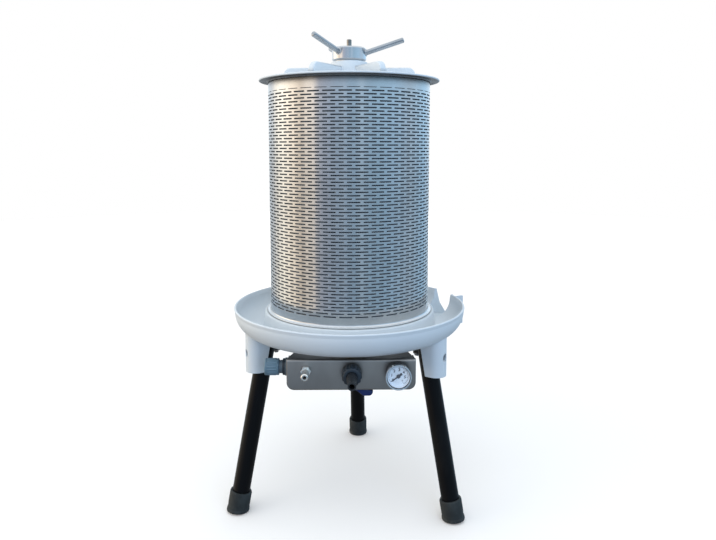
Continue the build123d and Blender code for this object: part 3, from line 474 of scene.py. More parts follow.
@dataclass(frozen=True)
class MouldedPlastic:
    """Moulded plastic with a faint grain, soft blotches and a few rubbed spots."""

    name: str
    dark: Colour
    light: Colour
    smooth: float
    dull: float
    grain: float = 0.00003
    waves: float = 0.0
    edge: float = 0.0012
    shade: ContactShade | None = None

    def build(self) -> Material:
        """Make the material.

        Returns:
            Plastic whose tone and gloss vary softly over the moulding, with painted shade
            where other pieces stand close.
        """
        shader = Shader(self.name, self.light, 0.0, self.smooth)
        shader.surface["IOR"].default_value = 1.49
        shader.round_edges(self.edge)
        shader.tint(shader.noise(Grain.BLOTCH, 6.0), self.dark, self.light)
        # Painted shade: the tone is darkened where other pieces stand close.
        if self.shade:
            shader.paint_contact_shade(self.shade)
        shader.rough(shader.noise(Grain.SCUFF, 5.0), self.smooth, self.dull)
        if self.waves:
            shader.bump(shader.noise(Grain.SINK, 1.0), self.waves)
        shader.bump(shader.noise(Grain.FINE, 2.0), self.grain)
        return shader.material


@dataclass(frozen=True)
class SatinPaint:
    """Baked paint with orange peel and small chips of a lighter tone."""

    name: str
    colour: Colour
    worn: Colour

    def build(self) -> Material:
        """Make the material.

        Returns:
            Paint with a pebbled gloss and pale rub marks.
        """
        shader = Shader(self.name, self.colour, 0.0, 0.3)
        shader.surface["Specular IOR Level"].default_value = 0.15
        shader.tint(shader.noise(Grain.CHIP, 7.0), self.colour, self.worn, 0.55, 0.85)
        shader.rough(shader.noise(Grain.BAKED, 4.0), 0.22, 0.42)
        shader.bump(shader.noise(Grain.PEEL, 1.0), 0.00012)
        return shader.material


@dataclass(frozen=True)
class Rubber:
    """Matt rubber with a grained skin and dust in the hollows."""

    name: str
    colour: Colour
    dust: Colour
    roughness: float
    skin: float

    def build(self) -> Material:
        """Make the material.

        Returns:
            Rubber with a dry, slightly dusty skin.
        """
        shader = Shader(self.name, self.colour, 0.0, self.roughness)
        shader.round_edges(0.0008)
        shader.tint(shader.noise(Grain.DUST, 7.0), self.colour, self.dust, 0.45, 0.8)
        shader.rough(shader.noise(Grain.DRY, 4.0), self.roughness - 0.08, self.roughness + 0.1)
        shader.bump(shader.noise(Grain.SKIN, 3.0), self.skin)
        return shader.material


@dataclass(frozen=True)
class WovenCloth:
    """Coarse woven press cloth, stained by use."""

    name: str
    colour: Colour
    stain: Colour
    threads: float

    def build(self) -> Material:
        """Make the material.

        Returns:
            Cloth with crossing threads round the basket and up it, and uneven stains.
        """
        shader = Shader(self.name, self.colour, 0.0, 0.85)
        shader.surface["Sheen Weight"].default_value = 0.15
        shader.tint(shader.noise(Grain.STAIN, 6.0), self.colour, self.stain, 0.35, 0.75)
        east, north, height = shader.parts()
        turn = shader.calculate("ARCTAN2", north, east)
        waves = [
            shader.calculate("SINE", shader.calculate("MULTIPLY", source, pace))
            for source, pace in ((turn, self.threads), (height, self.threads * 6.0))
        ]
        shader.bump(shader.calculate("MULTIPLY", *waves), 0.0004)
        return shader.material


@dataclass(frozen=True)
class DialEnamel:
    """White enamel of the dial, faintly mottled."""

    name: str
    light: Colour
    aged: Colour

    def build(self) -> Material:
        """Make the material.

        Returns:
            Enamel with faint mottling.
        """
        shader = Shader(self.name, self.light, 0.0, 0.35)
        shader.tint(shader.noise(Grain.AGEING, 4.0), self.light, self.aged)
        shader.rough(shader.noise(Grain.GLAZE, 2.0), 0.3, 0.42)
        shader.bump(shader.noise(Grain.SPECK, 1.0), 0.000005)
        return shader.material


@dataclass(frozen=True)
class ClearWindow:
    """Thin clear pane that mostly shows what is behind it."""

    name: str
    colour: Colour
    cover: float

    def build(self) -> Material:
        """Make the material.

        Returns:
            A nearly open surface with a gloss, rougher where it was wiped.
        """
        shader = Shader(self.name, self.colour, 0.0, 0.05)
        shader.surface["Alpha"].default_value = self.cover
        shader.rough(shader.noise(Grain.WIPED), 0.03, 0.09)
        return shader.material


class Finish(Enum):
    """Every finish of the press, named for what carries it."""

    # Painted shade: a dark line on the tray round the basket's foot.
    TRAY = MouldedPlastic(
        "tray_plastic", (0.66, 0.70, 0.73), (0.70, 0.74, 0.765), 0.34, 0.46, waves=0.0006,
        shade=ContactShade(0.025, 0.35, 0.55, 0.92, lowest=0.388, highest=0.402),
    )
    # Painted shade: the lid is darker under its rim and on its underside.
    LID = MouldedPlastic(
        "lid_plastic", (0.68, 0.72, 0.75), (0.72, 0.76, 0.785), 0.34, 0.46, waves=0.0006,
        edge=0.0015, shade=ContactShade(0.09, 0.05, 0.66, 0.98, highest=0.8636),
    )
    # Painted highlight: the basket is lighter towards its foot. Painted shade: it is darker just under
    # the lid's rim.
    BASKET = BareMetal(
        "basket_sheet", (0.60, 0.61, 0.62), (0.68, 0.69, 0.70), Grain.AROUND, 0.14, 0.22,
        dents=0.0007, shade=ContactShade(0.028, 0.06, 0.66, 0.85, lowest=0.80),
        fade=PaintedHeightLight(0.393, 0.425, 1.14),
    )
    # Painted shade: the panel is darker towards its bottom and on its top under the tray.
    PANEL = BareMetal(
        "panel_sheet", (0.38, 0.36, 0.345), (0.455, 0.435, 0.42), Grain.SIDEWAYS, 0.34, 0.44,
        0.000012, edge=0.0036, shade=ContactShade(0.022, 0.45, 0.35, 0.75),
        fade=PaintedHeightLight(0.284, 0.338, 0.76),
    )
    POLISHED = BareMetal(
        "turned_steel", (0.58, 0.59, 0.61), (0.70, 0.71, 0.73), Grain.AROUND, 0.10, 0.20
    )
    BAR = BareMetal("drawn_bar", (0.40, 0.42, 0.44), (0.52, 0.54, 0.57), Grain.EVEN, 0.12, 0.22)
    SPINDLE = ThreadedSteel("spindle_thread", (0.34, 0.33, 0.31), 0.004, 0.931)
    ZINC = BareMetal(
        "zinc_plate", (0.28, 0.28, 0.29), (0.40, 0.40, 0.41), Grain.FINE, 0.34, 0.5, 0.00001
    )
    BRASS = BareMetal(
        "pipe_brass", (0.52, 0.38, 0.16), (0.66, 0.50, 0.24), Grain.UPRIGHT, 0.25, 0.4
    )
    # Painted shade: nickel is darker below about 0.31 m, at the relief valve's lower side.
    NICKEL = BareMetal(
        "nickel_plate", (0.84, 0.82, 0.78), (0.94, 0.92, 0.88), Grain.FINE, 0.06, 0.13,
        fade=PaintedHeightLight(0.306, 0.3155, 0.30),
    )
    BEZEL = BareMetal(
        "bezel_chrome", (0.84, 0.88, 0.93), (0.92, 0.96, 1.0), Grain.FINE, 0.05, 0.12
    )
    PAINT = SatinPaint("leg_paint", (0.0025, 0.0025, 0.0032), (0.010, 0.0095, 0.009))
    FOOT = Rubber("foot_rubber", (0.012, 0.016, 0.017), (0.034, 0.040, 0.040), 0.62, 0.00012)
    BLADDER = Rubber("bladder_rubber", (0.012, 0.012, 0.013), (0.03, 0.03, 0.029), 0.5, 0.00008)
    BUSH = MouldedPlastic(
        "bush_plastic", (0.5, 0.5, 0.47), (0.58, 0.58, 0.55), 0.35, 0.5, edge=0.0006
    )
    LEVER = MouldedPlastic("lever_plastic", (0.004, 0.016, 0.085), (0.008, 0.03, 0.15), 0.10, 0.2)
    BLACK = MouldedPlastic(
        "black_plastic", (0.012, 0.014, 0.017), (0.025, 0.028, 0.032), 0.3, 0.46, 0.00005, edge=0.0008
    )
    DIAL = DialEnamel("dial_enamel", (0.86, 0.91, 0.97), (0.80, 0.85, 0.90))
    INK = MouldedPlastic(
        "dial_ink", (0.003, 0.005, 0.014), (0.006, 0.009, 0.024), 0.4, 0.5, 0.000004
    )
    WINDOW = ClearWindow("gauge_pane", (0.9, 0.95, 1.0), 0.06)
    COUPLING = MouldedPlastic(
        "coupling_plastic", (0.09, 0.12, 0.145), (0.12, 0.155, 0.18), 0.36, 0.5, edge=0.0007
    )
    SLEEVE = MouldedPlastic(
        "sleeve_plastic", (0.11, 0.185, 0.235), (0.145, 0.225, 0.285), 0.34, 0.48, edge=0.0007
    )
    GRIP = MouldedPlastic(
        "grip_plastic", (0.010, 0.018, 0.028), (0.020, 0.032, 0.046), 0.3, 0.46, 0.00005, edge=0.0008
    )
    # Painted shade: the cloth is dark blue grey, so that the slots show a shaded inside.
    CLOTH = WovenCloth("press_cloth", (0.05, 0.07, 0.09), (0.09, 0.10, 0.11), 640.0)


@cache
def material_of(finish: Finish) -> Material:
    """Make a finish's material, once."""
    return finish.value.build()


def dress(finish: Finish, nodes: Iterable[str]) -> None:
    """Give solids of the frame a finish.

    Args:
        finish: The finish.
        nodes: Names of the solids.
    """
    material = material_of(finish)
    for name in nodes:
        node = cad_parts[name]
        if not node.material_slots:
            node.data.materials.append(material)
        for slot in node.material_slots:
            slot.material = material
        log.info("dressed %s with %s", name, material.name)


@dataclass(frozen=True)
class Stretch:
    """Other body that a piece reaches to, and the points between which it gives."""

    body: Body
    start: Point
    stop: Point


def place(name: str, data: bpy.types.ID) -> Object:
    """Put a new object into the scene.

    Args:
        name: Its name.
        data: Its mesh, curve, light or camera.

    Returns:
        The object.
    """
    thing = bpy.data.objects.new(name, data)
    bpy.context.scene.collection.objects.link(thing)
    return thing


def add_piece(
    mesh: Mesh,
    body: Body,
    finish: Finish,
    replaced: Sequence[str] = (),
    stretch: Stretch | None = None,
) -> Object:
    """Put a new piece into the scene.

    Args:
        mesh: Its mesh, in the shared frame. The piece takes the mesh's name.
        body: Body that it rides on.
        finish: Its finish.
        replaced: Solids that it stands for.
        stretch: Where it gives, if it joins two bodies. With a stretch the piece rides on no body, and
            nothing makes it give.

    Returns:
        The new object.
    """
    piece = place(mesh.name, mesh)
    mesh.materials.append(material_of(finish))
    if stretch:
        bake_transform(piece)
    else:
        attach(piece, body.value)
    if replaced:
        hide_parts(*replaced)
    log.info("placed %s on %s: %d faces", piece.name, body.value, len(mesh.polygons))
    return piece


def make_mesh(
    name: str, points: Sequence[Sequence[float]], faces: Sequence[Face], crease: float
) -> Mesh:
    """Make a mesh with smooth shading, sharp over a given angle.

    Args:
        name: Name of the mesh.
        points: Vertices in metres.
        faces: Vertex numbers of each face.
        crease: Angle in degrees over which an edge stays sharp.

    Returns:
        The mesh.
    """
    mesh = bpy.data.meshes.new(name)
    mesh.from_pydata([tuple(point) for point in points], [], faces)
    mesh.shade_smooth()
    mesh.set_sharp_from_angle(angle=math.radians(crease))
    mesh.update()
    return mesh


def loft(
    rows: int, sides: int, closed: bool = False, flipped: bool = False, first: int = 0
) -> list[Face]:
    """Join rings of vertices into a skin.

    Args:
        rows: Number of rings.
        sides: Vertices in each ring.
        closed: Whether the last ring joins the first, in place of a cap on each.
        flipped: Whether the faces look the other way.
        first: Number of the first vertex.

    Returns:
        Vertex numbers of each face.
    """
    faces: list[Face] = []
    for row in range(rows if closed else rows - 1):
        here, there = first + row * sides, first + (row + 1) % rows * sides
        for step in range(sides):
            ahead = (step + 1) % sides
            face = (here + step, here + ahead, there + ahead, there + step)
            faces.append((face[0], *face[:0:-1]) if flipped else face)
    if closed:
        return faces
    last = first + (rows - 1) * sides
    start, stop = (tuple(range(ring, ring + sides)) for ring in (first, last))
    return faces + ([start, stop[::-1]] if flipped else [start[::-1], stop])


def turns(count: int) -> list[float]:
    """Angles of one full turn in equal steps, in radians."""
    return [step * math.tau / count for step in range(count)]


def bearing(azimuth: float) -> tuple[Vector, Vector]:
    """Level directions straight out and sideways at an azimuth in radians."""
    out = Vector((math.cos(azimuth), math.sin(azimuth), 0.0))
    return out, UP.cross(out)


def share_of(value: float, start: float, stop: float) -> float:
    """Share of the way from start to stop, kept from 0 to 1."""
    return min(max((value - start) / (stop - start), 0.0), 1.0)


def arc(
    centre: Ring, radius: float, start: float, step: float, count: int, facing: float = 1.0
) -> list[tuple[Ring, Ring]]:
    """Points along an arc of a section.

    Args:
        centre: Middle of the arc, outward and upward.
        radius: Its radius.
        start: Direction of the first point in degrees.
        step: Degrees to the next point.
        count: Number of points.
        facing: 1 where the outside of the arc is the surface, -1 where the inside is.

    Returns:
        The points and their normals, outward and upward.
    """
    section = []
    for number in range(count):
        angle = math.radians(start + step * number)
        out, up = math.cos(angle), math.sin(angle)
        point = (centre[0] + out * radius, centre[1] + up * radius)
        section.append((point, (facing * out, facing * up)))
    return section


@dataclass
class Lathe:
    """Turns outlines about an axis, with an optional change of radius round it."""

    origin: Vector
    along: Vector
    segments: int = 96

    def turn(
        self,
        name: str,
        outline: Sequence[Ring],
        swell: Callable[[float, int], float] | None = None,
        crease: float = 40.0,
    ) -> Mesh:
        """Turn a closed outline into a ring-shaped mesh.

        Args:
            name: Name of the mesh.
            outline: Distance along the axis and radius of each corner, in order round the section.
            swell: Extra radius for an angle and a corner number.
            crease: Angle in degrees over which an edge stays sharp.

        Returns:
            The mesh.
        """
        axis = self.along.normalized()
        side = axis.orthogonal().normalized()
        across = axis.cross(side)
        points = []
        for corner, (distance, radius) in enumerate(outline):
            for angle in turns(self.segments):
                reach = radius + (swell(angle, corner) if swell else 0.0)
                out = side * math.cos(angle) + across * math.sin(angle)
                points.append(self.origin + axis * distance + out * reach)
        return make_mesh(name, points, loft(len(outline), self.segments, closed=True), crease)


def flute(
    count: int, height: float, cover: float, shares: dict[int, float]
) -> Callable[[float, int], float]:
    """Rounded ribs round a grip.

    Args:
        count: Number of ribs.
        height: Height of a rib in metres.
        cover: Part of the pitch that a rib covers.
        shares: Share of the height at each corner of the outline that has ribs.

    Returns:
        Function from angle and corner number to extra radius.
    """

    def rise(angle: float, corner: int) -> float:
        """Height of the ribs at one place.

        Args:
            angle: Direction round the grip.
            corner: Corner number of the outline.

        Returns:
            Extra radius there.
        """
        along = (angle * count / math.tau) % 1.0
        off = min(along, 1.0 - along) / (cover / 2)
        return shares.get(corner, 0.0) * (height * math.sqrt(max(0.0, 1.0 - off**4)))

    return rise


@dataclass
class PerforatedSheet:
    """Mesh of a rolled sheet with staggered rows of slots, written cell by cell."""

    radius: float
    columns: int
    phase: float
    points: list[Point] = field(default_factory=list)
    faces: list[Face] = field(default_factory=list)
    normals: list[Point] = field(default_factory=list)

    def direction(self, step: float) -> Ring:
        """Direction straight out at a number of half pitches."""
        angle = self.phase + step * math.pi / self.columns
        return (math.cos(angle), math.sin(angle))

    def ring(self, radius: float, height: float) -> int:
        """Add a ring of vertices, one at each half pitch.

        Args:
            radius: Its radius in metres.
            height: Its height in metres.

        Returns:
            Number of the ring's first vertex.
        """
        first = len(self.points)
        for step in range(self.columns * 2):
            x, y = self.direction(step)
            self.points.append((x * radius, y * radius, height))
        return first

    def face(self, corners: Sequence[int], normals: Sequence[Point], inside: bool = False) -> None:
        """Add a face.

        Args:
            corners: Vertex numbers, counter-clockwise from outside.
            normals: Shading normal at each corner, pointing outwards.
            inside: Whether it belongs to the inner skin, seen from the axis.
        """
        if inside:
            corners = corners[::-1]
            normals = [(-x, -y, -z) for x, y, z in reversed(normals)]
        self.faces.append(tuple(corners))
        self.normals.extend(normals)

    def band(self, lower: int, upper: int, slope_low: Ring, slope_high: Ring) -> None:
        """Join two rings.

        Args:
            lower: First vertex of one ring.
            upper: First vertex of the next ring along the section.
            slope_low: Outward and upward parts of the normal at the first ring.
            slope_high: The same at the second ring.
        """
        count = self.columns * 2
        slopes = (slope_low, slope_low, slope_high, slope_high)
        for step in range(count):
            ahead = (step + 1) % count
            ways = [self.direction(spot) for spot in (step, ahead, ahead, step)]
            normals = [(x * out, y * out, up) for (x, y), (out, up) in zip(ways, slopes)]
            self.face((lower + step, lower + ahead, upper + ahead, upper + step), normals)

    def strip(
        self,
        start: int,
        start_slope: Ring,
        section: Sequence[tuple[Ring, Ring]],
        stop: int,
        stop_slope: Ring,
    ) -> None:
        """Close the sheet's end along a section.

        Args:
            start: First vertex of the ring that the strip starts from.
            start_slope: Normal there.
            section: Points and normals between the two rings.
            stop: First vertex of the ring that the strip ends at.
            stop_slope: Normal there.
        """
        last, slope = start, start_slope
        for (radius, height), normal in section:
            ring = self.ring(radius, height)
            self.band(last, ring, slope, normal)
            last, slope = ring, normal
        self.band(last, stop, slope, stop_slope)

    def hole(self, middle: float, height: float, size: Ring, radius: float) -> list[int]:
        """Add the twelve vertices round one slot.

        Args:
            middle: Slot centre in half pitches.
            height: Slot centre height in metres.
            size: Slot length and height in metres.
            radius: Radius of the skin it is on.

        Returns:
            Vertex numbers, counter-clockwise from the right end's lower corner.
        """
        half, end = size[0] / 2, size[1] / 2
        corner = DIAGONAL * end
        right = [
            (half - end, -end), (half - end + corner, -corner), (half, 0.0),
            (half - end + corner, corner), (half - end, end),
        ]
        left = [(-along, -up) for along, up in right]
        first = len(self.points)
        pitch = self.radius * math.pi / self.columns
        for along, up in [*right, (0.0, end), *left, (0.0, -end)]:
            x, y = self.direction(middle + along / pitch)
            self.points.append((x * radius, y * radius, height + up))
        return list(range(first, len(self.points)))

    def skin(self, lower: int, upper: int, middle: int, hole: list[int], inside: bool) -> None:
        """Fill one cell of a skin round its slot.

        Args:
            lower: First vertex of the ring below.
            upper: First vertex of the ring above.
            middle: Cell centre in half pitches.
            hole: Vertices round the slot, or an empty list for a plain cell.
            inside: Whether this is the inner skin.
        """
        count = self.columns * 2
        steps = [(middle - 1) % count, middle % count, (middle + 1) % count]
        low = [lower + step for step in steps]
        high = [upper + step for step in steps]
        shapes: list[Face] = [
            (low[0], low[1], high[1], high[0]), (low[1], low[2], high[2], high[1]),
        ]
        if hole:
            right, top, left, bottom = hole[0:5], hole[5], hole[6:11], hole[11]
            shapes = [
                (low[0], low[1], bottom, left[4]), (low[1], low[2], right[0], bottom),
                (high[1], high[0], left[0], top), (high[2], high[1], top, right[4]),
                (low[2], high[2], right[2]), (high[0], low[0], left[2]),
            ]
            fans = ((low[2], right[:3]), (high[2], right[2:]), (high[0], left[:3]), (low[0], left[2:]))
            for tip, edge in fans:
                shapes += [(tip, edge[1], edge[0]), (tip, edge[2], edge[1])]
        for shape in shapes:
            normals = []
            for number in shape:
                x, y, _ = self.points[number]
                size = math.hypot(x, y)
                normals.append((x / size, y / size, 0.0))
            self.face(shape, normals, inside)

    def wall(self, outer: list[int], inner: list[int]) -> None:
        """Join the two skins round a slot.

        Args:
            outer: Vertices on the outer skin.
            inner: Vertices on the inner skin.
        """
        count = len(outer)
        spots = [Vector(self.points[number]) for number in outer]
        middle = sum(spots, Vector()) / count
        for step in range(count):
            ahead = (step + 1) % count
            edge = (spots[ahead] - spots[step]).normalized()
            pulls = [(middle - spots[number]).normalized() for number in (step, ahead)]
            near, far = (tuple((pull - edge * pull.dot(edge)).normalized()) for pull in pulls)
            self.face((outer[step], outer[ahead], inner[ahead], inner[step]), [near, far, far, near])

    def mesh(self, name: str) -> Mesh:
        """Write the mesh.

        Args:
            name: Its name.

        Returns:
            The mesh with its own shading normals.
        """
        mesh = bpy.data.meshes.new(name)
        mesh.from_pydata(self.points, [], self.faces)
        mesh.shade_smooth()
        mesh.normals_split_custom_set(self.normals)
        mesh.update()
        return mesh


@dataclass
class Basket:
    """Slotted stainless basket with a turned-out, rolled foot."""

    radius: float = 0.165
    sheet: float = 0.0012
    bottom: float = 0.393
    top: float = 0.860
    lip: float = 0.0006
    foot: float = 0.007
    foot_bend: float = 0.005
    bead: float = 0.0012
    columns: int = 34
    phase: float = math.radians(2.8)
    rows: int = 70
    slot: Ring = (0.0250, 0.0026)
    top_slot: Ring = (0.0240, 0.0010)
    first_row: float = 0.41375
    row_pitch: float = 0.006168
    seam_step: int = 17
    seam_ends: Ring = (0.012, 0.002)
    seam_profile: tuple[float, ...] = (-0.0022, -0.0014, -0.0005, 0.0005, 0.0014, 0.0022)
    seam_crown: float = 0.00055
    seam_sunk: float = 0.00015
    seam_root: float = 0.0007
    seam_pace: float = 0.0016

    def foot_section(self) -> list[tuple[Ring, Ring]]:
        """Section of the foot from the outer skin round the bead to the inner skin.

        Returns:
            Radius and height, then the normal, of each point.
        """
        bend = (self.radius + self.foot_bend, self.bottom + self.sheet + self.foot_bend)
        bead = (self.radius + self.foot - self.bead, self.bottom + self.bead)
        return [
            *arc(bend, self.foot_bend, 180.0, 15.0, 7, -1.0),
            *arc(bead, self.bead, 120.0, -30.0, 8),
            *arc(bend, self.foot_bend + self.sheet, 270.0, -15.0, 7),
        ]

    def build(self) -> Mesh:
        """Write the slotted sheet.

        Returns:
            Its mesh.
        """
        sheet = PerforatedSheet(self.radius, self.columns, self.phase)
        inner = self.radius - self.sheet
        edges = [self.first_row + (row - 0.5) * self.row_pitch for row in range(self.rows + 1)]
        outside = [sheet.ring(self.radius, height) for height in edges]
        within = [sheet.ring(inner, height) for height in edges]
        for row in range(self.rows):
            height = self.first_row + row * self.row_pitch
            size = self.top_slot if row == self.rows - 1 else self.slot
            for column in range(self.columns):
                middle = 2 * column + row % 2
                holes: list[list[int]] = [[], []]
                if middle != self.seam_step:
                    skins = (self.radius, inner)
                    holes = [sheet.hole(middle, height, size, radius) for radius in skins]
                    sheet.wall(*holes)
                sheet.skin(outside[row], outside[row + 1], middle, holes[0], False)
                sheet.skin(within[row], within[row + 1], middle, holes[1], True)
        bevel = self.lip * 0.3
        rim = [
            ((self.radius, self.top - self.lip), OUTWARD),
            ((self.radius - bevel, self.top - bevel), (DIAGONAL, DIAGONAL)),
            ((self.radius - self.sheet / 2, self.top), (0.0, 1.0)),
            ((inner + bevel, self.top - bevel), (-DIAGONAL, DIAGONAL)),
            ((inner, self.top - self.lip), INWARD),
        ]
        sheet.strip(outside[-1], OUTWARD, rim, within[-1], INWARD)
        sheet.strip(within[0], INWARD, self.foot_section()[::-1], outside[0], OUTWARD)
        return sheet.mesh("basket_sheet")

    def seam(self) -> Mesh:
        """Write the upright weld at the back.

        Returns:
            A low rippled bead along the sheet's joint.
        """
        out, side = bearing(self.phase + self.seam_step * math.pi / self.columns)
        low, high = self.bottom + self.seam_ends[0], self.top - self.seam_ends[1]
        rows = int((high - low) / self.seam_pace) + 1
        half = self.seam_profile[-1]
        points = []
        for row in range(rows):
            ripple = 0.00008 * math.sin(row * 2.1) + 0.00006 * math.sin(row * 0.9 + 1.0)
            section = []
            for across in self.seam_profile:
                crown = self.seam_crown * (1.0 - (across / half) ** 2)
                section.append((across, crown + (ripple if crown else 0.0) - self.seam_sunk))
            for across, lift in [*section, (half, -self.seam_root), (-half, -self.seam_root)]:
                reach = math.sqrt(self.radius**2 - across**2) + lift
                points.append(out * reach + side * across + UP * (low + row * self.seam_pace))
        return make_mesh("basket_seam", points, loft(rows, len(self.seam_profile) + 2), 60.0)

    def dress(self) -> None:
        """Place the sheet and its seam on the basket's body."""
        add_piece(self.build(), Body.BASKET, Finish.BASKET, ["basket"])
        add_piece(self.seam(), Body.BASKET, Finish.BASKET)


@dataclass
class PressCloth:
    """Woven cloth that lines the basket, hung with shallow folds."""

    radius: float = 0.1634
    thickness: float = 0.0005
    bottom: float = 0.3940
    top: float = 0.8458
    folds: int = 23
    depth: float = 0.0030
    hem: float = 0.018
    hem_layers: float = 2.2
    hem_step: float = 0.002
    segments: int = 460
    rows: int = 36

    def inset(self, angle: float, share: float) -> float:
        """How far the cloth hangs inside its own circle.

        Args:
            angle: Direction round the basket in radians.
            share: Height, from 0 at the bottom to 1 at the hem.

        Returns:
            The inset in metres, 0 on the crest of a fold.
        """
        drift = 0.9 * math.sin(2.0 * angle + 3.0 * share) + 0.5 * math.sin(5.0 * angle - 4.0 * share)
        crease = 0.5 - 0.5 * math.cos(self.folds * angle + drift)
        size = 0.65 + 0.35 * math.sin(3.0 * angle + 1.3)
        slack = 0.35 + 0.65 * math.sin(math.pi * min(1.0, 0.15 + 0.85 * share))
        return self.depth * size * slack * crease**2

    def course(self, share: float, back: float = 0.0) -> list[Ring]:
        """One level course round the cloth.

        Args:
            share: Height, from 0 at the bottom to 1 at the hem.
            back: Distance behind the outer face.

        Returns:
            Its points, seen from above.
        """
        points = []
        for angle in turns(self.segments):
            reach = self.radius - self.inset(angle, share) - back
            points.append((reach * math.cos(angle), reach * math.sin(angle)))
        return points

    def build(self) -> Mesh:
        """Write the cloth.

        Returns:
            A thin closed sleeve with a doubled hem at its top.
        """
        height = self.top - self.bottom
        hem = 1.0 - self.hem / height
        levels = [row / self.rows for row in range(self.rows + 1)]
        levels = sorted([*levels, hem, hem + self.hem_step])
        courses = [(share, 0.0) for share in levels]
        for share in reversed(levels):
            courses.append((share, self.thickness * (self.hem_layers if share > hem else 1.0)))
        points = []
        for share, back in courses:
            level = self.bottom + share * height
            points += [(x, y, level) for x, y in self.course(share, back)]
        faces = loft(len(courses), self.segments, closed=True)
        return make_mesh("press_cloth_sleeve", points, faces, 60.0)

    def dress(self) -> None:
        """Hang the cloth in the basket."""
        piece = add_piece(self.build(), Body.BASKET, Finish.CLOTH, ["press_cloth"])


@dataclass
class Stand:
    """Tray, legs, rubber feet and the bolts that hold the legs."""

    leg_circle: float = 0.250
    lean: float = math.radians(11.0)
    azimuths: dict[str, float] = field(
        default_factory=lambda: {"rear": 85.0, "front_left": 205.0, "front_right": 325.0}
    )
    foot_radius: float = 0.0221
    foot_flare: float = 0.0005
    foot_height: float = 0.042
    foot_set: float = 0.5
    foot_sole: tuple[Ring, ...] = (
        (0.0008, 0.0070), (0.0, 0.0055), (0.0, 0.0016), (0.0006, 0.0004), (0.0018, 0.0),
        (0.0034, 0.0001), (0.0040, 0.0007), (0.0046, 0.0002), (0.0064, 0.0006), (0.0070, 0.0012),
        (0.0077, 0.0008), (0.0100, 0.0015),
    )
    leg_radius: float = 0.0176
    segments: int = 72

    def foot(self, name: str) -> Mesh:
        """Write one rubber ferrule, with a sole halfway between level and square to the leg.

        Args:
            name: Which leg it is on.

        Returns:
            Its mesh.
        """
        out, across = bearing(math.radians(self.azimuths[name]))
        axis = (out * -math.sin(self.lean) + UP * math.cos(self.lean)).normalized()
        side = across.cross(axis).normalized()
        base, top = self.foot_radius + self.foot_flare, self.foot_radius - self.foot_flare
        tall = self.foot_height / math.cos(self.lean)
        sole = [(height, base - inset) for height, inset in self.foot_sole]
        upper = [
            (0.016, self.foot_radius - 0.0004), (tall - 0.0035, top + 0.0002),
            (tall - 0.0012, top - 0.0003), (tall, top - 0.0010), (tall, self.leg_radius + 0.0002),
            (tall - 0.006, self.leg_radius),
        ]
        lift = (1.0 - self.foot_set) * base * math.sin(self.lean)
        points = []
        for row, (height, radius) in enumerate(sole + upper):
            for angle in turns(self.segments):
                spoke = (across * math.cos(angle) + side * math.sin(angle)) * radius
                along = height
                if row < len(sole):
                    along = (height + lift - self.foot_set * spoke.z) / axis.z
                points.append(out * self.leg_circle + spoke + axis * along)
        faces = loft(len(sole + upper), self.segments, flipped=True)
        return make_mesh(f"foot_ferrule_{name}", points, faces, 50.0)

    def dress(self) -> None:
        """Give the stand its finishes and its feet."""
        dress(Finish.TRAY, ["tray"])
        dress(Finish.PAINT, [f"leg_{name}" for name in self.azimuths])
        dress(Finish.ZINC, ["leg_bolts", "leg_nuts"])
        for name in self.azimuths:
            add_piece(self.foot(name), Body.STAND, Finish.FOOT, [f"foot_{name}"])


@dataclass
class PressCore:
    """Spindle, core, bladder and the stack that clamps them to the tray."""

    seat: float = 0.393
    wall: float = 0.004
    tube_radius: float = 0.0565
    inner_radius: float = 0.0525
    flange_radius: float = 0.082
    flange_round: float = 0.0008
    top: float = 0.848
    top_bend: float = 0.005
    bend_angles: tuple[float, ...] = (20.0, 45.0, 70.0, 90.0)
    hole_radius: float = 0.024
    bulge: float = 0.0009
    folds: int = 9
    rows: int = 26
    segments: int = 144

    def bladder(self) -> Mesh:
        """Write the slack rubber bladder.

        Returns:
            A sleeve with shallow lengthwise folds between its two clamped ends.
        """
        foot, under = self.seat + self.wall, self.top - self.wall
        edge, flange = self.flange_round, self.flange_radius
        outline: list[Ring] = [
            (self.seat, self.inner_radius), (self.seat, flange - edge), (self.seat + edge, flange),
            (foot - edge, flange), (foot, flange - edge), (foot, self.tube_radius + 0.0006),
        ]
        skin = len(outline)
        low, high = foot + 0.0025, self.top - 0.0065
        for row in range(self.rows + 1):
            share = row / self.rows
            swollen = self.tube_radius + self.bulge * math.sin(math.pi * share)
            outline.append((low + (high - low) * share, swollen))
        for angle in map(math.radians, self.bend_angles):
            drop = self.top_bend * (1 - math.sin(angle))
            inset = self.top_bend * (1 - math.cos(angle))
            outline.append((self.top - drop, self.tube_radius - inset))
        outline += [
            (self.top, self.hole_radius), (under, self.hole_radius), (under, self.inner_radius),
        ]

        def slack(angle: float, corner: int) -> float:
            """Depth of the folds at one place.

            Args:
                angle: Direction round the sleeve.
                corner: Corner number of the outline.

            Returns:
                Extra radius there.
            """
            share = (corner - skin) / self.rows
            if not 0.0 <= share <= 1.0:
                return 0.0
            calm = math.sin(math.pi * share) ** 0.6
            twist = angle * self.folds + 0.7 * math.sin(3.1 * share + 0.4)
            cross = 0.35 * math.sin(2 * angle + 9.0 * share) + 0.25 * math.sin(17.0 * share + angle)
            return calm * (0.0010 * (1.0 + math.cos(twist)) + 0.0007 * (0.6 + cross))

        return Lathe(Vector(), UP, self.segments).turn("bladder_sleeve", outline, slack, 50.0)

    def dress(self) -> None:
        """Give the core its finishes and its slack bladder."""
        dress(Finish.SPINDLE, ["spindle"])
        dress(Finish.ZINC, ["base_spacer", "base_washer", "base_nut"])
        dress(Finish.ZINC, ["core_nut", "base_bolts", "base_bolt_nuts"])
        dress(Finish.POLISHED, ["base_plate", "bladder_clamp_ring", "bladder_clamp_disc"])
        dress(Finish.BUSH, ["core_tube", "core_cap"])
        piece = add_piece(
            self.bladder(), Body.STAND, Finish.BLADDER, ["bladder"]
        )


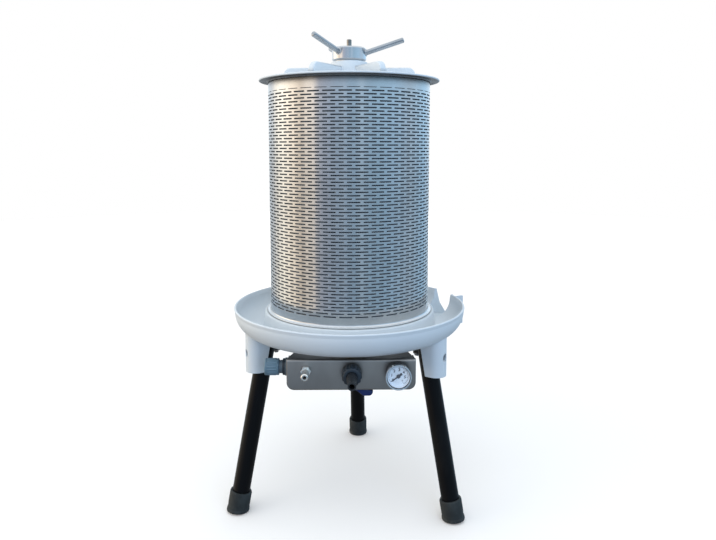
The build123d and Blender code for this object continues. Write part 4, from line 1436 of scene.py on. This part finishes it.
@dataclass
class Lid:
    """Moulded lid with a thin rim, a hub and six rounded ribs."""

    radius: float = 0.184
    seat: float = 0.860
    top: float = 0.866
    rim_under: float = 0.8622
    seat_ring: float = 0.1672
    spigot: Ring = (0.1586, 0.1626)
    spigot_foot: float = 0.848
    pocket: Ring = (0.026, 0.882)
    bush_gap: float = 0.00005
    hub: Ring = (0.042, 0.038)
    hub_top: float = 0.903
    neck_round: float = 0.005
    crown_round: float = 0.0025
    ribs: int = 6
    rib_azimuth: float = math.radians(-2.0)
    rib_root: float = 0.030
    rib_reach: float = 0.140
    rib_slope: float = 0.010
    rib_height: float = 0.026
    rib_sunk: float = 0.002
    rib_half: Ring = (0.0072, 0.0066)
    nose_round: float = 0.009
    edge_round: float = 0.003
    segments: int = 192

    def outline(self) -> list[Ring]:
        """Section of the turned body.

        Returns:
            Height and radius of each corner, round the section.
        """
        bore = (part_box("lid_bush")[1].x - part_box("lid_bush")[0].x) / 2 + self.bush_gap
        inner, outer = self.spigot
        neck, crown = self.hub
        below = [
            (self.pocket[1], bore), (self.pocket[1], self.pocket[0]), (self.seat, self.pocket[0]),
            (self.seat, inner - 0.002), (self.seat - 0.002, inner),
            (self.spigot_foot + 0.001, inner), (self.spigot_foot, inner + 0.001),
            (self.spigot_foot, outer - 0.001), (self.spigot_foot + 0.001, outer),
            (self.seat, outer), (self.seat, self.seat_ring - 0.0006),
            (self.seat + 0.0006, self.seat_ring), (self.rim_under - 0.0008, self.seat_ring),
            (self.rim_under, self.seat_ring + 0.0008),
        ]
        lip, bend, edge = (self.top - self.rim_under) / 2, self.neck_round, self.crown_round
        rounded = [
            *arc((self.radius - lip, self.rim_under + lip), lip, -90.0, 22.5, 9),
            *arc((neck + bend, self.top + bend), bend, 270.0, -22.5, 5),
            *arc((crown - edge, self.hub_top - edge), edge, 0.0, 22.5, 5),
        ]
        above = [(height, radius) for (radius, height), _ in rounded]
        return [*below, *above, (self.hub_top, bore)]

    @staticmethod
    def round_off(
        mould: bmesh.types.BMesh, edges: list[bmesh.types.BMEdge], radius: float, steps: int
    ) -> None:
        """Round some edges of a mould.

        Args:
            mould: The mould.
            edges: Its edges to round.
            radius: Radius of the rounding in metres.
            steps: Facets across the rounding.
        """
        bmesh.ops.bevel(
            mould, geom=edges, offset=radius, offset_type="OFFSET", segments=steps, profile=0.5,
            affect="EDGES",
        )

    def rib(self, index: int) -> tuple[list[Vector], list[Face]]:
        """Shape one rib with a sloping, rounded nose.

        Args:
            index: Which rib it is.

        Returns:
            Its vertices and faces.
        """
        out, side = bearing(self.rib_azimuth + index * math.tau / self.ribs)
        low, high = self.top - self.rib_sunk, self.top + self.rib_height
        foot_reach = self.rib_reach + self.rib_slope * self.rib_sunk / self.rib_height
        corners = (
            (self.rib_root, low, self.rib_half[0]),
            (foot_reach, low, self.rib_half[0]),
            (self.rib_reach - self.rib_slope, high, self.rib_half[1]),
            (self.rib_root, high, self.rib_half[1]),
        )
        mould = bmesh.new()
        near, far = [], []
        for row, way in ((near, -1.0), (far, 1.0)):
            for reach, level, half in corners:
                row.append(mould.verts.new(out * reach + side * (half * way) + UP * level))
        mould.faces.new(near)
        mould.faces.new(far[::-1])
        for step in range(4):
            ahead = (step + 1) % 4
            mould.faces.new((near[step], far[step], far[ahead], near[ahead]))
        bmesh.ops.recalc_face_normals(mould, faces=mould.faces)
        self.round_off(mould, [mould.edges.get((near[2], far[2]))], self.nose_round, 8)
        floor, start = low + 0.0001, self.rib_root + 0.0001
        sharp = []
        for edge in mould.edges:
            ends = [vertex.co for vertex in edge.verts]
            shown = max(end.z for end in ends) > floor and max(end.dot(out) for end in ends) > start
            if shown and abs((ends[0] - ends[1]).normalized().dot(side)) < 0.5:
                sharp.append(edge)
        self.round_off(mould, sharp, self.edge_round, 5)
        mould.verts.index_update()
        points = [vertex.co.copy() for vertex in mould.verts]
        faces = [tuple(vertex.index for vertex in face.verts) for face in mould.faces]
        mould.free()
        return points, faces

    def build(self) -> Mesh:
        """Write the moulding.

        Returns:
            Its mesh, with the ribs' flat sides shaded flat up to their rounded edges.
        """
        body = Lathe(Vector(), UP, self.segments).turn("lid_body", self.outline())
        points = [vertex.co.copy() for vertex in body.vertices]
        faces = [tuple(face.vertices) for face in body.polygons]
        bpy.data.meshes.remove(body)
        turned = len(faces)
        for index in range(self.ribs):
            first = len(points)
            more, shapes = self.rib(index)
            points += more
            faces += [tuple(first + number for number in shape) for shape in shapes]
        mesh = make_mesh("lid_moulding", points, faces, 35.0)
        normals = [Vector(corner.vector) for corner in mesh.corner_normals]
        weighed = [Vector() for _ in points]
        for face in mesh.polygons[turned:]:
            for number in face.vertices:
                weighed[number] += face.normal * face.area
        for face in mesh.polygons[turned:]:
            for loop in face.loop_indices:
                normals[loop] = weighed[mesh.loops[loop].vertex_index].normalized()
        mesh.normals_split_custom_set(normals)
        return mesh

    def dress(self) -> None:
        """Place the lid and give its bush a finish."""
        add_piece(self.build(), Body.LID, Finish.LID, ["lid"])
        dress(Finish.BUSH, ["lid_bush"])


@dataclass
class Closure:
    """Three-armed nut that holds the lid down."""

    nut_radius: float = 0.035
    arm_radius: float = 0.0054
    arm_azimuth: float = 231.6
    arm_count: int = 3
    arm_rise: float = math.radians(17.4)
    arm_root: float = 0.922
    bead_radius: float = 0.0015
    bead_gap: float = 0.0002
    bead_steps: int = 56
    bead_sides: int = 10

    def weld(self, index: int) -> Mesh:
        """Write the weld bead round an arm's root.

        Args:
            index: Which arm it is on.

        Returns:
            A rippled ring where the arm meets the nut.
        """
        out, side = bearing(math.radians(self.arm_azimuth) + index * math.tau / self.arm_count)
        axis = out * math.cos(self.arm_rise) + UP * math.sin(self.arm_rise)
        lift = axis.cross(side) * -1.0
        root = out * self.nut_radius + UP * self.arm_root
        pull = Vector((axis.x, axis.y))
        square = pull.dot(pull)
        points = []
        for step, angle in enumerate(turns(self.bead_steps)):
            spoke = side * math.cos(angle) + lift * math.sin(angle)
            start = root + spoke * (self.arm_radius + self.bead_gap)
            flat = Vector((start.x, start.y))
            inner = flat.dot(pull)
            past = flat.dot(flat) - self.nut_radius**2
            centre = start + axis * ((-inner + math.sqrt(inner**2 - square * past)) / square)
            nut_out = Vector((centre.x, centre.y, 0.0)).normalized()
            ripple = 1.0 + 0.16 * math.sin(step * math.tau / 4.0) + 0.10 * math.sin(3 * angle + index)
            for turn in turns(self.bead_sides):
                way = nut_out * math.cos(turn) + spoke * math.sin(turn)
                points.append(centre + way * self.bead_radius * ripple)
        faces = loft(self.bead_steps, self.bead_sides, closed=True, flipped=True)
        return make_mesh(f"arm_weld_{index + 1}", points, faces, 80.0)

    def dress(self) -> None:
        """Give the nut and its arms their finishes and the arms their welds."""
        dress(Finish.POLISHED, ["thrust_washer", "clamp_nut"])
        dress(Finish.BAR, ["clamp_arms"])
        for index in range(self.arm_count):
            add_piece(self.weld(index), Body.CLAMP_NUT, Finish.POLISHED)


@dataclass
class WaterWorks:
    """Folded panel with its pipes, drain valve, relief valve and couplings."""

    outlet: Point = (0.004, -0.185, 0.315)
    nut_start: float = 0.002
    nut_length: float = 0.0245
    nut_wall: float = 0.004
    nut_radius: float = 0.0173
    nut_rib: float = 0.0014
    nut_ribs: int = 14
    neck_radius: float = 0.0141
    tail_radius: float = 0.0104
    inlet: Point = (-0.134, -0.150, 0.315)
    sleeve_length: float = 0.027
    sleeve_radius: float = 0.0150
    sleeve_rib: float = 0.0012
    sleeve_ribs: int = 18
    sleeve_bore: float = 0.01285
    collar: Point = (-0.122, -0.150, 0.315)
    collar_length: float = 0.005
    collar_radius: float = 0.0158
    collar_bore: float = 0.0124
    lever_hub: float = 0.010
    lever_fall: Ring = (0.010, 0.028)
    lever_tip: float = 0.010
    lever_round: float = 0.008
    lever_slices: int = 72
    lever_sides: int = 40
    spring_wire: float = 0.0007
    spring_turns: int = 5
    spring_steps: int = 36
    spring_sides: int = 10

    def union_nut(self) -> Mesh:
        """Write the ribbed union nut.

        Returns:
            A fluted cap with a rounded front edge.
        """
        start, stop = self.nut_start, self.nut_start + self.nut_length
        bore_end, radius = stop - self.nut_wall, self.nut_radius
        outline = [
            (start, self.neck_radius), (start, radius - 0.0006), (start + 0.0006, radius),
            (start + 0.0016, radius), (start + 0.0026, radius), (stop - 0.0060, radius),
            (stop - 0.0040, radius), (stop - 0.0024, radius - 0.0004),
            (stop - 0.0008, radius - 0.0016), (stop, radius - 0.0034), (stop, self.tail_radius),
            (bore_end, self.tail_radius), (bore_end, self.neck_radius),
        ]
        shares = {3: 0.5, 4: 1.0, 5: 1.0, 6: 0.85, 7: 0.45}
        ribs = flute(self.nut_ribs, self.nut_rib, 0.62, shares)
        lathe = Lathe(Vector(self.outlet), FRONT, self.nut_ribs * 10)
        return lathe.turn("union_nut", outline, ribs, 55.0)

    def release_sleeve(self) -> Mesh:
        """Write the ribbed release sleeve of the inlet coupling.

        Returns:
            A fluted sleeve with rounded ends.
        """
        length, radius, bore = self.sleeve_length, self.sleeve_radius, self.sleeve_bore
        outline = [
            (0.0, bore + 0.0003), (0.0, radius - 0.0002), (0.0008, radius + 0.0008),
            (0.0030, radius + 0.0010), (0.0038, radius), (0.0044, radius), (0.0054, radius),
            (length - 0.0056, radius), (length - 0.0046, radius), (length - 0.0040, radius),
            (length - 0.0032, radius + 0.0010), (length - 0.0010, radius + 0.0008),
            (length, radius - 0.0004), (length, bore + 0.0003), (length - 0.0006, bore),
            (0.0006, bore),
        ]
        ribs = flute(self.sleeve_ribs, self.sleeve_rib, 0.55, {5: 0.6, 6: 1.0, 7: 1.0, 8: 0.6})
        lathe = Lathe(Vector(self.inlet), LEFT, self.sleeve_ribs * 8)
        return lathe.turn("release_sleeve", outline, ribs, 55.0)

    def inlet_collar(self) -> Mesh:
        """Write the collar between the coupling's flange and its sleeve.

        Returns:
            A ring with a rounded edge.
        """
        length, radius, bore = self.collar_length, self.collar_radius, self.collar_bore
        outline = [
            (0.0, bore), (0.0, radius), (length - 0.0010, radius),
            (length - 0.0003, radius - 0.0003), (length, radius - 0.0010), (length, bore),
        ]
        return Lathe(Vector(self.collar), LEFT).turn("inlet_collar", outline)

    def lever(self) -> Mesh:
        """Write the drain valve's lever.

        Returns:
            A moulded grip that drops away from its hub and ends round.
        """
        low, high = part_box("drain_lever")
        hub, tip = (high.y - low.y) / 2, self.lever_tip / 2
        hub_at, tip_at = low.x + hub, high.x - tip
        middle, knee = (low.y + high.y) / 2, high.z - self.lever_hub
        points = []
        for cut in range(self.lever_slices + 1):
            spread = (1.0 - math.cos(cut / self.lever_slices * math.pi)) / 2
            x = low.x + (high.x - low.x) * (0.004 + 0.992 * spread)
            wide = hub + (tip - hub) * share_of(x, hub_at, tip_at)
            if x < hub_at:
                wide = math.sqrt(hub**2 - (x - hub_at) ** 2)
            elif x > tip_at:
                wide = math.sqrt(tip**2 - (x - tip_at) ** 2)
            fall = share_of(x, *self.lever_fall)
            under = knee + (low.z - knee) * fall * fall * (3.0 - 2.0 * fall)
            end = max(x - high.x + self.lever_round, 0.0)
            under += self.lever_round - math.sqrt(self.lever_round**2 - end**2)
            drop = (low.z + self.lever_tip - high.z) * share_of(x, hub_at + hub, high.x)
            over = high.z + drop
            for angle in turns(self.lever_sides):
                parts = (math.cos(angle), math.sin(angle))
                beside, up = (math.copysign(math.sqrt(abs(part)), part) for part in parts)
                height = (under + over) / 2 + (over - under) / 2 * up
                points.append((x, middle + wide * beside, height))
        return make_mesh("lever_grip", points, loft(self.lever_slices + 1, self.lever_sides), 60.0)

    def relief_spring(self) -> Mesh:
        """Write the relief valve's coil.

        Returns:
            A coil of round wire, from the poppet to the valve's end wall.
        """
        low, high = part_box("relief_spring")
        middle = (low + high) / 2
        wire = self.spring_wire
        radius = (high.x - low.x) / 2 - wire
        steps = self.spring_turns * self.spring_steps
        points = []
        for step in range(steps + 1):
            share = step / steps
            angle = share * self.spring_turns * math.tau
            out = Vector((math.cos(angle), 0.0, math.sin(angle)))
            depth = high.y - wire + (low.y - high.y + 2 * wire) * share
            centre = Vector((middle.x, depth, middle.z)) + out * radius
            for turn in turns(self.spring_sides):
                across = out * (wire * math.cos(turn))
                points.append(centre + across - FRONT * (wire * math.sin(turn)))
        return make_mesh("relief_coil", points, loft(steps + 1, self.spring_sides), 50.0)

    def dress(self) -> None:
        """Give the panel and its fittings their finishes and ribbed grips."""
        dress(Finish.PANEL, ["control_panel"])
        dress(Finish.BRASS, ["manifold", "manifold_plug", "riser_pipe"])
        dress(Finish.BRASS, ["drain_valve_body", "gauge_stem", "drain_stem"])
        dress(Finish.NICKEL, ["drain_ball", "relief_valve_body", "relief_poppet"])
        dress(Finish.ZINC, ["lever_screw"])
        dress(Finish.BLADDER, ["outlet_gasket"])
        dress(Finish.BLACK, ["hose_tail", "outlet_slip_ring"])
        dress(Finish.COUPLING, ["inlet_body"])
        add_piece(self.inlet_collar(), Body.STAND, Finish.GRIP)
        add_piece(self.lever(), Body.LEVER, Finish.LEVER, ["drain_lever"])
        add_piece(
            self.union_nut(), Body.OUTLET_NUT, Finish.GRIP, ["outlet_union_nut"]
        )
        add_piece(
            self.release_sleeve(), Body.INLET_SLEEVE, Finish.SLEEVE, ["inlet_sleeve"]
        )
        low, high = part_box("relief_spring")
        middle = (low + high) / 2
        gives = Stretch(Body.POPPET, (middle.x, low.y, middle.z), (middle.x, high.y, middle.z))
        add_piece(
            self.relief_spring(), Body.STAND, Finish.ZINC, ["relief_spring"], gives
        )


@dataclass
class Gauge:
    """Pressure gauge with a printed scale from 0 to 6."""

    centre: Point = (0.089, -0.205, 0.315)
    zero: float = 217.0
    sweep: float = 270.0
    marks: int = 6
    minor: int = 5
    scale_radius: float = 0.0180
    scale_line: Ring = (-0.0001, 0.00025)
    scale_arcs: int = 54
    long_mark: Ring = (0.0026, 0.00042)
    short_mark: Ring = (0.0015, 0.00024)
    number_radius: float = 0.0122
    number_size: float = 0.0072
    number_weight: float = 0.00024
    print_gap: float = 0.00002
    print_height: float = 0.00006
    rim_radius: float = 0.02035
    rim_wall: float = 0.0004
    rim_depth: float = 0.006
    needle: tuple[float, float, float] = (0.0160, 0.0016, 0.0006)
    tail: tuple[float, float, float] = (0.0082, 0.0015, 0.0024)
    needle_thickness: float = 0.0005
    hub_radius: float = 0.0037
    hub_rise: float = 0.0001
    cap_radius: float = 0.0022
    cap_rise: float = 0.0003
    round_steps: int = 40

    def spot(self, radius: float, degrees: float, height: float) -> Vector:
        """Point on the dial.

        Args:
            radius: Distance from the dial's centre.
            degrees: Direction, counter-clockwise from the right as seen from the front.
            height: Distance in front of the dial.

        Returns:
            The point in the shared frame.
        """
        angle = math.radians(degrees)
        across = Vector((math.cos(angle), 0.0, math.sin(angle))) * radius
        return Vector(self.centre) + across + FRONT * height

    def scale(self) -> Mesh:
        """Write the scale's ring and its long and short marks.

        Returns:
            Thin raised print.
        """
        points: list[Vector] = []
        faces: list[Face] = []
        outer, total = self.scale_radius, self.marks * self.minor
        for mark in range(total + 1):
            turn = self.zero - self.sweep * mark / total
            length, width = self.short_mark if mark % self.minor else self.long_mark
            inner, half = outer - length, math.degrees(width / outer)
            ends = ((inner, half), (inner, -half), (outer, -half), (outer, half))
            corners = [self.spot(radius, turn + off, self.print_gap) for radius, off in ends]
            faces += loft(2, len(corners), first=len(points))
            points += [*corners, *(corner + FRONT * self.print_height for corner in corners)]
        inner, outer = (self.scale_radius + side for side in self.scale_line)
        back, front = self.print_gap / 2, self.print_gap + self.print_height
        section = ((inner, back), (inner, front), (outer, front), (outer, back))
        faces += loft(self.scale_arcs + 1, len(section), flipped=True, first=len(points))
        for step in range(self.scale_arcs + 1):
            turn = self.zero - self.sweep * step / self.scale_arcs
            points += [self.spot(radius, turn, height) for radius, height in section]
        return make_mesh("dial_scale", points, faces, 30.0)

    def number(self, value: int) -> Mesh:
        """Write one numeral as a thin raised mesh.

        Args:
            value: The numeral.

        Returns:
            Its mesh, on the dial.
        """
        text = bpy.data.curves.new(f"numeral_{value}", "FONT")
        text.body = str(value)
        text.size = self.number_size
        text.align_x = "CENTER"
        text.align_y = "CENTER"
        text.offset = self.number_weight
        writer = place("writer", text)
        bpy.context.view_layer.update()
        written = writer.evaluated_get(bpy.context.evaluated_depsgraph_get())
        mesh = bpy.data.meshes.new_from_object(written)
        bpy.data.objects.remove(writer)
        mesh.name = f"dial_numeral_{value}"
        joined = bmesh.new()
        joined.from_mesh(mesh)
        bmesh.ops.remove_doubles(joined, verts=joined.verts, dist=self.print_height / 10)
        raised = bmesh.ops.extrude_face_region(joined, geom=joined.faces[:], use_keep_orig=True)
        upper = [part for part in raised["geom"] if isinstance(part, bmesh.types.BMVert)]
        bmesh.ops.translate(joined, verts=upper, vec=(0.0, 0.0, self.print_height))
        bmesh.ops.recalc_face_normals(joined, faces=joined.faces[:])
        joined.to_mesh(mesh)
        joined.free()
        turn = self.zero - self.sweep * value / self.marks
        middle = self.spot(self.number_radius, turn, self.print_height / 2)
        mesh.transform(Matrix.Translation(middle) @ Matrix.Rotation(math.pi / 2, 4, "X"))
        return mesh

    def rim(self) -> Mesh:
        """Write the pale ring that lines the case between dial and window.

        Returns:
            A thin ring.
        """
        outer, inner = self.rim_radius, self.rim_radius - self.rim_wall
        outline = [(0.0, inner), (0.0, outer), (self.rim_depth, outer), (self.rim_depth, inner)]
        return Lathe(Vector(self.centre), FRONT).turn("dial_rim", outline)

    def pointer(self) -> Mesh:
        """Write the pointer, at zero.

        Returns:
            A tapered needle with a broad tail, a round hub and a cap.
        """
        angle = math.radians(self.zero)
        along = Vector((math.cos(angle), 0.0, math.sin(angle)))
        across = Vector((-math.sin(angle), 0.0, math.cos(angle)))
        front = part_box("gauge_pointer")[0].y
        face = front + self.cap_rise
        back = face + self.needle_thickness
        reach, root, tip = self.needle
        needle = [(0.0, -root), (reach, -tip), (reach, tip), (0.0, root)]
        reach, root, tip = self.tail
        tail = [(0.0, root), (-reach, tip), (-reach, -tip), (0.0, -root)]
        hub, cap = (
            [(radius * math.cos(turn), radius * math.sin(turn)) for turn in turns(self.round_steps)]
            for radius in (self.hub_radius, self.cap_radius)
        )
        plates = (
            (needle, back, face), (tail, back, face), (hub, back, face - self.hub_rise),
            (cap, face, front),
        )
        points: list[Vector] = []
        faces: list[Face] = []
        for shape, far, near in plates:
            faces += loft(2, len(shape), first=len(points))
            for depth in (far, near):
                middle = Vector((self.centre[0], depth, self.centre[2]))
                points += [middle + along * ahead + across * beside for ahead, beside in shape]
        return make_mesh("gauge_needle", points, faces, 30.0)

    def dress(self) -> None:
        """Give the gauge its finishes and its print."""
        dress(Finish.BLACK, ["gauge_case"])
        dress(Finish.BEZEL, ["gauge_bezel"])
        dress(Finish.DIAL, ["gauge_dial"])
        dress(Finish.WINDOW, ["gauge_window"])
        add_piece(self.pointer(), Body.POINTER, Finish.INK, ["gauge_pointer"])
        add_piece(self.rim(), Body.STAND, Finish.DIAL)
        add_piece(self.scale(), Body.STAND, Finish.INK)
        for value in range(self.marks + 1):
            add_piece(self.number(value), Body.STAND, Finish.INK)


@dataclass(frozen=True)
class Lamp:
    """Square soft lamp that isn't seen in reflections, which show the studio's own light."""

    name: str
    spot: Point
    power: float
    colour: Colour
    aim: Point = (0.0, 0.0, 0.4)
    size: float = 1.6

    def hang(self) -> None:
        """Hang the lamp where it faces its aim."""
        data = bpy.data.lights.new(self.name, "AREA")
        data.size = self.size
        data.energy = self.power
        data.color = self.colour
        lamp = place(self.name, data)
        lamp.location = self.spot
        lamp.visible_glossy = False
        aim = Vector(self.aim) - Vector(self.spot)
        lamp.rotation_euler = aim.to_track_quat("-Z", "Y").to_euler()


@dataclass
class Studio:
    """Pale floor, soft light and the camera."""

    eye: Point = (0.0, -1.3361, 0.7309)
    pitch: float = math.radians(5.955)
    yaw: float = 0.0135
    lens: float = 32.21
    shift: float = -0.0783
    floor_radius: float = 6.0
    floor_steps: int = 96
    lamps: tuple[Lamp, ...] = (
        Lamp("top_light", (-0.6, -0.8, 2.6), 8.0, (0.98, 0.99, 1.0)),
        Lamp("sky_fill", (0.9, -2.2, 1.0), 15.0, (0.45, 0.65, 1.0)),
        Lamp("sun_fill", (-2.2, -0.8, 1.0), 9.0, (1.0, 0.95, 0.85)),
    )
    light_round: tuple[tuple[float, Colour], ...] = (
        (0.0, (0.80, 0.90, 1.00)),
        (1.0, (0.80, 0.90, 1.00)),
        (0.14, (0.44, 0.69, 0.93)),
        (0.24, (0.42, 0.56, 0.70)),
        (0.32, (0.37, 0.56, 0.75)),
        (0.40, (0.32, 0.49, 0.65)),
        (0.435, (0.33, 0.48, 0.63)),
        (0.453, (0.46, 0.60, 0.74)),
        (0.470, (0.32, 0.46, 0.60)),
        (0.50, (0.31, 0.44, 0.58)),
        (0.522, (0.40, 0.50, 0.62)),
        (0.54, (0.34, 0.45, 0.58)),
        (0.58, (0.39, 0.46, 0.57)),
        (0.618, (0.45, 0.48, 0.56)),
        (0.643, (1.06, 0.95, 0.84)),
        (0.675, (1.00, 0.885, 0.76)),
        (0.695, (0.80, 0.675, 0.55)),
        (0.73, (1.30, 1.12, 0.91)),
        (0.80, (1.55, 1.42, 1.20)),
        (0.845, (1.20, 1.14, 1.02)),
        (0.88, (0.74, 0.77, 0.79)),
        (0.92, (0.68, 0.75, 0.80)),
    )
    light_level: tuple[tuple[float, Colour], ...] = (
        (0.40, (0.86, 0.86, 0.86)),
        (0.66, (1.10, 1.10, 1.10)),
        (0.47, (0.88, 0.88, 0.88)),
        (0.516, (1.14, 1.14, 1.14)),
        (0.555, (1.38, 1.36, 1.34)),
        (0.60, (1.38, 1.36, 1.34)),
    )
    ceiling: Ring = (0.62, 0.80)
    ceiling_light: Colour = (0.95, 1.04, 1.12)
    ground: Ring = (0.24, 0.36)
    ground_light: Colour = (0.26, 0.28, 0.30)

    def floor(self) -> None:
        """Lay a large pale floor that doesn't show in reflections."""
        shader = Shader("floor_paper", (0.9, 0.9, 0.9), 0.0, 0.9)
        shader.surface["Specular IOR Level"].default_value = 0.0
        shader.surface["Emission Color"].default_value = (1.0, 0.8, 0.6, 1.0)
        shader.tint(shader.noise(Grain.PAPER, 2.0), (0.89, 0.87, 0.85), (0.91, 0.89, 0.87))
        far = shader.add("VectorMath")
        far.operation = "LENGTH"
        shader.feed(far.inputs[0], shader.coordinates())
        glow = shader.between(far.outputs["Value"], 0.12, 0.6, 0.9, 4.5)
        shader.feed(shader.surface["Emission Strength"], glow)
        points = [bearing(angle)[0] * self.floor_radius for angle in turns(self.floor_steps)]
        mesh = make_mesh("floor", points, [tuple(range(self.floor_steps))], 30.0)
        mesh.materials.append(shader.material)
        floor = place("floor", mesh)
        floor.visible_glossy = False
        floor.visible_diffuse = False

    def sky(self) -> None:
        """Light the scene from all round: warm on the left, blue grey in front, bright above."""
        world = bpy.data.worlds.new("studio_light")
        bpy.context.scene.world = world
        world.use_nodes = True
        world.node_tree.nodes.clear()
        nodes = Nodes(world.node_tree)
        east, north, up = nodes.parts("Generated")
        flipped = [nodes.calculate("MULTIPLY", part, -1.0) for part in (east, north)]
        turn = nodes.calculate("ARCTAN2", *flipped)
        around = nodes.ramp(nodes.between(turn, 0.0, 1.0, -math.pi, math.pi), self.light_round)
        height = nodes.between(up, 0.0, 1.0, -1.0, 1.0)
        none, full = (0.0, 0.0, 0.0), (1.0, 1.0, 1.0)
        upward = nodes.ramp(height, list(zip(self.ceiling, (none, full))))
        downward = nodes.ramp(height, list(zip(self.ground, (full, none))))
        shade = nodes.blend("MULTIPLY", around, nodes.ramp(height, self.light_level))
        for weight, colour in ((upward, self.ceiling_light), (downward, self.ground_light)):
            shade = nodes.blend("MIX", shade, (*colour, 1.0), weight)
        light, paper = nodes.add("Background"), nodes.add("Background")
        nodes.feed(light.inputs["Color"], shade)
        paper.inputs["Color"].default_value = (*full, 1.0)
        choose = nodes.add("MixShader")
        nodes.feed(choose.inputs["Fac"], nodes.add("LightPath").outputs["Is Camera Ray"])
        nodes.feed(choose.inputs[1], light.outputs["Background"])
        nodes.feed(choose.inputs[2], paper.outputs["Background"])
        nodes.feed(nodes.add("OutputWorld").inputs["Surface"], choose.outputs["Shader"])

    def camera(self) -> None:
        """Set the camera where the photograph was taken from."""
        data = bpy.data.cameras.new("camera")
        data.lens = self.lens
        data.sensor_width = 36.0
        data.shift_y = self.shift
        data.clip_start = 0.05
        camera = place("camera", data)
        camera.location = self.eye
        camera.rotation_euler = (math.pi / 2 - self.pitch, 0.0, -self.yaw)
        bpy.context.scene.camera = camera

    def build(self) -> None:
        """Set up floor, light and camera."""
        self.floor()
        self.sky()
        for lamp in self.lamps:
            lamp.hang()
        self.camera()
        bpy.context.scene.view_settings.view_transform = "Standard"
        log.info("set floor, light and camera")


def main() -> None:
    """Build every sub-assembly."""
    logging.basicConfig(level=logging.INFO, format="%(name)s: %(message)s")
    Studio().build()
    for assembly in (
        Stand(), PressCore(), PressCloth(), Basket(), Lid(), Closure(), WaterWorks(), Gauge(),
    ):
        assembly.dress()


if __name__ == "__main__":
    main()
